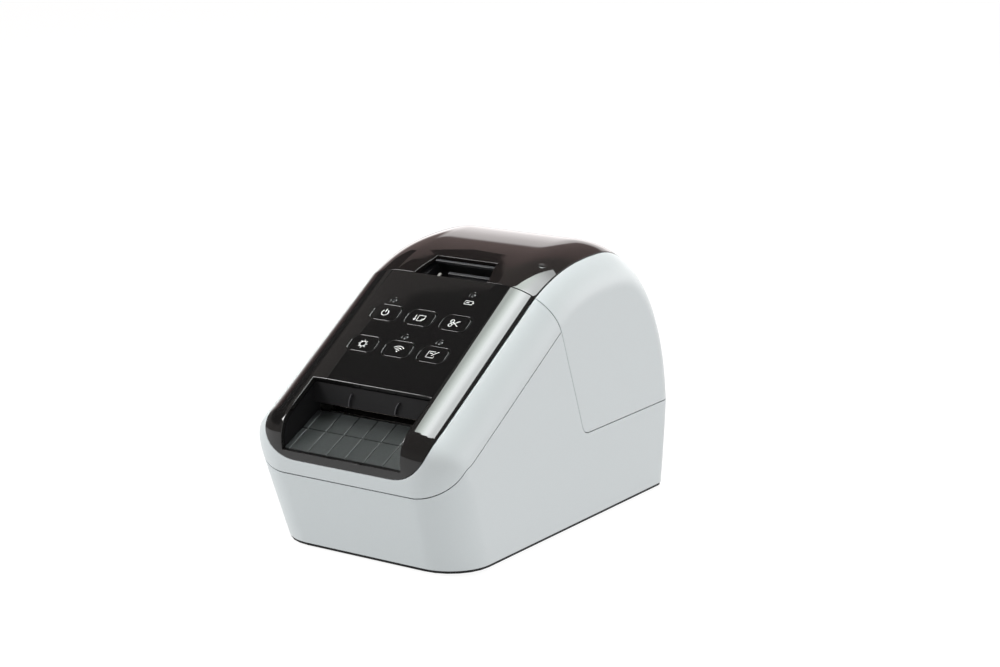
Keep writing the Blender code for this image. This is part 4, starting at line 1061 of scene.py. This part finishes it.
def make_lid_cover():
    half = GAP_W / 2
    fractions = spread(0.0, 1.0, 16)
    ts = spread(2.12, WINDOW_END + 0.004, 56)
    rows = [[(seam_t(lambda t, f=f: rear_w(t, f), half), f) for f in fractions]]
    rows += [[(t, f) for f in fractions] for t in ts]
    ends = [lid_edge(f, LID_BOTTOM + half) for f in fractions]
    for k in range(1, 8):
        rows.append([(mix(ts[-1], end, k / 7), f) for end, f in zip(ends, fractions)])
    rows = [[(t, rear_w(t, f)) for t, f in row] for row in rows]
    corner = lid_seam_corner(half)
    peak = skin(*rows[0][-1])[1:]
    end = skin(*rows[-1][-1])[1:]
    spare = len(rows) - 2 - len(corner)
    before = spare // 3
    feet = [peak] + between(peak, corner[0], before + 1) + corner
    rest = len(rows) - 1 - len(feet)
    feet += between(corner[-1], (end[0], LID_BOTTOM + half), rest + 1) + [end]
    outer, inner = [], []
    walls = 10
    for number, (row, (y, z)) in enumerate(zip(rows, feet)):
        right = [skin(t, w) for t, w in row]
        lining = [under(t, w, WALL) for t, w in row]
        top = right[-1]
        for k in range(1, walls + 1):
            if number in (0, len(rows) - 1):
                right.append(top)
                lining.append(lining[-1])
                continue
            height = mix(top[2], z, k / walls)
            point = (half_width(height), mix(top[1], y, k / walls), height)
            right.append(point)
            lining.append((point[0] - WALL, point[1], point[2]))
        outer.append([(-a, b, c) for a, b, c in right[::-1]] + right)
        inner.append([(-a, b, c) for a, b, c in lining[::-1]] + lining)
    middle = len(fractions) + walls - 1
    last = len(ts)
    cover = shell("lid_shell", outer, inner, "silver", lambda i, j: j != middle or i >= last)
    round_rims(cover, 0.35)
    place(cover, "lid", "silver", "lid_cover")


def make_lid_window():
    half = GAP_W / 2
    inner_end = solve(2.0, 2.8, lambda t: math.dist(centre(t), GAP) > NOTCH[2])
    edge = EDGE_X - half
    outside = spread(NOTCH[0] + 2.0, edge, 10)
    xs = [-x for x in outside[::-1]] + spread(-NOTCH[0], NOTCH[0], 14) + outside
    count = 12
    rows = []
    for u in spread(0.0, 1.0, count):
        reach = mix(NOTCH[0], NOTCH[1], smooth(u))
        placed = [math.copysign(mix(reach, edge, (abs(x) - NOTCH[0]) / (edge - NOTCH[0])), x)
                  if abs(x) >= NOTCH[0] else x * reach / NOTCH[0] for x in xs]
        rows.append(skin_row([mix(t, inner_end, u) for t, _ in seam_row(placed, half)], placed))
    rows += [skin_row([t] * len(xs), placed) for t in spread(inner_end, WINDOW_END - 0.004, 52)[1:]]
    outer, inner = grid_on_skin(rows)
    low, high = len(outside), len(xs) - len(outside) - 1
    window = shell("window_shell", outer, inner, "smoke", lambda i, j: i >= count or not low <= j < high)
    round_rims(window, 0.3)
    place(window, "lid", "smoke", "lid_window")


def make_window_boss():
    """A low dished boss near the window's front right corner."""
    x, t = WINDOW_BOSS
    per_mm = 0.01 / math.dist(centre(t), centre(t + 0.01))
    loops = []
    for radius, depth in ((2.3, 0.1), (2.3, -0.05), (2.1, -0.2), (1.4, -0.2), (1.2, -0.02)):
        places = [(x + dx, t + per_mm * dy) for dx, dy in circle((0.0, 0.0), radius, 28)]
        loops.append([under(b, across(b, a), depth) for a, b in places])
    boss = tube("window_boss", loops, "gloss_black")
    place(round_rims(boss, 0.0), "lid", "smoke")


def make_springs():
    """The head's springs: a fixed coil on each side, from the head up to the frame's bar."""
    low, high, y, radius, wire, rings = 77.8, 86.6, -60.0, 3.0, 0.5, 96
    for side_name, x in (("left", -20.0), ("right", 20.0)):
        loops = []
        for k, turn in enumerate(spread(0.0, 2.0 * math.pi * SPRING_TURNS, rings)):
            z = mix(low + wire, high - wire, k / rings)
            loops.append([(x + reach * math.cos(turn), y + reach * math.sin(turn), z + rise)
                          for reach, rise in circle((radius, 0.0), wire, 8)])
        spring = tube(f"spring_{side_name}", loops, "steel")
        spring.data.shade_smooth()
        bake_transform(spring)
        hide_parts(f"head_spring_{side_name}")


# -------- carried-over pieces

def dress_carried_nodes():
    """Gives every solid that is still shown its finish, on a slot of its own."""
    corners = [f"{end}_{side_name}" for end in ("front", "rear") for side_name in ("left", "right")]
    finishes = {
        "black": ["base_plate", "hinge_mount", "lid_hinge_arm_left", "lid_hinge_arm_right", "lid_frame",
                  "roll_cradle", "label_guide", "label_sensor", "ac_inlet"],
        "rubber": [f"foot_{corner}" for corner in corners] + ["platen_roller"],
        "steel": [f"case_screw_{corner}" for corner in corners] + [
            "hinge_shaft", "mechanism_frame", "idler_pin", "motor_pinion", "feed_motor", "cutter_fixed_blade",
            "cutter_motor", "cutter_blade", "head_carrier", "heat_sink", "usb_port"],
        "gear": ["platen_gear", "idler_gear", "cutter_crank"],
        "ceramic": ["print_head"],
        "board": ["key_board", "main_board", "power_board", "port_board", "wireless_board"],
    }
    for finish, names in finishes.items():
        for name in names:
            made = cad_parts[name]
            made.data.materials.clear()
            made.data.materials.append(LOOKS[finish])


# -------- studio

def make_floor():
    """A pale lit table, so bright that shadows on it almost vanish."""
    made, tree = new_material("paper")
    fine = noise(tree, 900.0, 3.0)
    tint = remap(tree, fine, 0.0, 1.0)
    fill_shader(tree, {
        "Base Color": blend_colour(tree, tint, (0.10, 0.10, 0.10), (0.11, 0.11, 0.11)),
        "Roughness": remap(tree, fine, 0.85, 0.95), "Specular IOR Level": 0.1,
        "Emission Color": (1.0, 1.0, 1.0, 1.0), "Emission Strength": FLOOR_GLOW})
    size = 60.0
    flat_card("floor", [(-size, -size), (size, -size), (size, size), (-size, size)], 0.0, made)


def flat_card(name, outline, height, material):
    mesh = bpy.data.meshes.new(name)
    mesh.from_pydata([(x, y, height) for x, y in outline], [], [list(range(len(outline)))])
    mesh.materials.append(material)
    link(name, mesh)


def area_light(name, middle, look_at, size, power):
    lamp = bpy.data.lights.new(name, "AREA")
    lamp.size = size
    lamp.energy = power
    made = link(name, lamp)
    made.location = middle
    aim = Vector(look_at) - Vector(middle)
    made.rotation_euler = aim.to_track_quat("-Z", "Y").to_euler()


def make_world():
    """A studio: dim brown ceiling, black curtain far left, bright cove behind, white wall on the right."""
    world = bpy.data.worlds.new("room")
    bpy.context.scene.world = world
    world.use_nodes = True
    tree = world.node_tree
    x, y, z = axes(tree, "Generated")

    def region(axis, start, end, bottom, top):
        """1 in one part of the room: beyond end along an axis, and in height beyond top."""
        return multiply(tree, ramp(tree, axis, start, end), ramp(tree, z, bottom, top))

    curtain = region(x, -0.765, -0.80, 0.22, 0.30)
    dim = tree.nodes["Background"]
    fill(tree, dim, {"Color": (*CEILING_COLOUR, 1.0),
                     "Strength": remap(tree, curtain, 1.0, CURTAIN, 0.0, 1.0)})
    shader = dim.outputs["Background"]
    left_side = region(x, -0.575, -0.61, 0.11, 0.22)
    not_left = remap(tree, left_side, 1.0, 0.0, 0.0, 1.0)
    white = (1.0, 1.0, 1.0)
    for amount, colour, area in (
            (COVE, white, multiply(tree, region(y, 0.30, 0.62, 0.40, 0.355), not_left)),
            (LOW_COVE, white, multiply(tree, region(y, 0.30, 0.62, 0.30, 0.18), not_left)),
            (REAR_CEILING, REAR_COLOUR, region(y, 0.30, 0.50, 0.74, 0.64)),
            (RIGHT_WALL, white, region(x, 0.30, 0.60, 0.75, 0.55)),
            (FRONT_WALL, white, region(y, -0.35, -0.60, 0.45, 0.35))):
        glow = add(tree, "Background", "Background",
                   {"Color": (*colour, 1.0), "Strength": multiply(tree, area, amount)})
        shader = add(tree, "AddShader", "Shader", {0: shader, 1: glow})
    fill(tree, tree.nodes["World Output"], {"Surface": shader})


def make_lamps():
    """The overhead softbox, the black flags beside it and a high lamp in front on the left."""
    cloth, tree = new_material("softbox_cloth")
    x, y, _ = axes(tree, "Object")
    rising = remap(tree, x, *SOFTBOX_GLOW, -0.30, -0.03)
    falling = remap(tree, x, 1.0, 0.74, 0.07, 0.23)
    glow = add(tree, "Mix", "Result", {"Factor": ramp(tree, y, 0.10, 0.50),
                                       "A": multiply(tree, rising, falling), "B": SOFTBOX_REAR_GLOW})
    fade = remap(tree, y, 1.0, 0.5, 0.50, 0.75)
    tint = remap(tree, x, 0.0, 1.0, -0.20, 0.05)
    fill_shader(tree, {
        "Base Color": (0.8, 0.8, 0.8, 1.0), "Emission Strength": multiply(tree, glow, fade),
        "Emission Color": blend_colour(tree, tint, (0.91, 1.0, 0.94), (0.96, 1.0, 1.0))})
    flat_card("softbox", SOFTBOX_OUTLINE, STUDIO_HEIGHT, cloth)
    area_light("front_lamp", FRONT_LAMP[0], (0.0, -0.05, 0.05), 0.6, FRONT_LAMP[1])
    cloth, tree = new_material("flag_cloth")
    fill_shader(tree, {
        "Base Color": blend_colour(tree, noise(tree, 400.0), (0.008, 0.008, 0.009), (0.014, 0.014, 0.015)),
        "Roughness": 0.9})
    for name, outline in FLAG_OUTLINES.items():
        flat_card(name, outline, STUDIO_HEIGHT, cloth)


def make_camera():
    data = bpy.data.cameras.new("camera")
    data.sensor_width = 36.0
    data.lens = LENS
    data.clip_end = 200.0
    made = link("camera", data)
    made.location = to_world(CAMERA_PLACE)
    made.rotation_euler = (math.radians(CAMERA_TILT), 0.0, math.radians(CAMERA_TURN))
    bpy.context.scene.camera = made


def main():
    make_lower_case()
    make_front_frame()
    make_front_panel()
    make_keys()
    make_lights()
    make_icons()
    make_label_tray()
    make_outlet_housing()
    make_finger_recess()
    make_lid_cover()
    make_lid_window()
    make_window_boss()
    make_springs()
    dress_carried_nodes()
    make_floor()
    make_world()
    make_lamps()
    make_camera()
    bpy.context.scene.view_settings.view_transform = "Standard"


main()
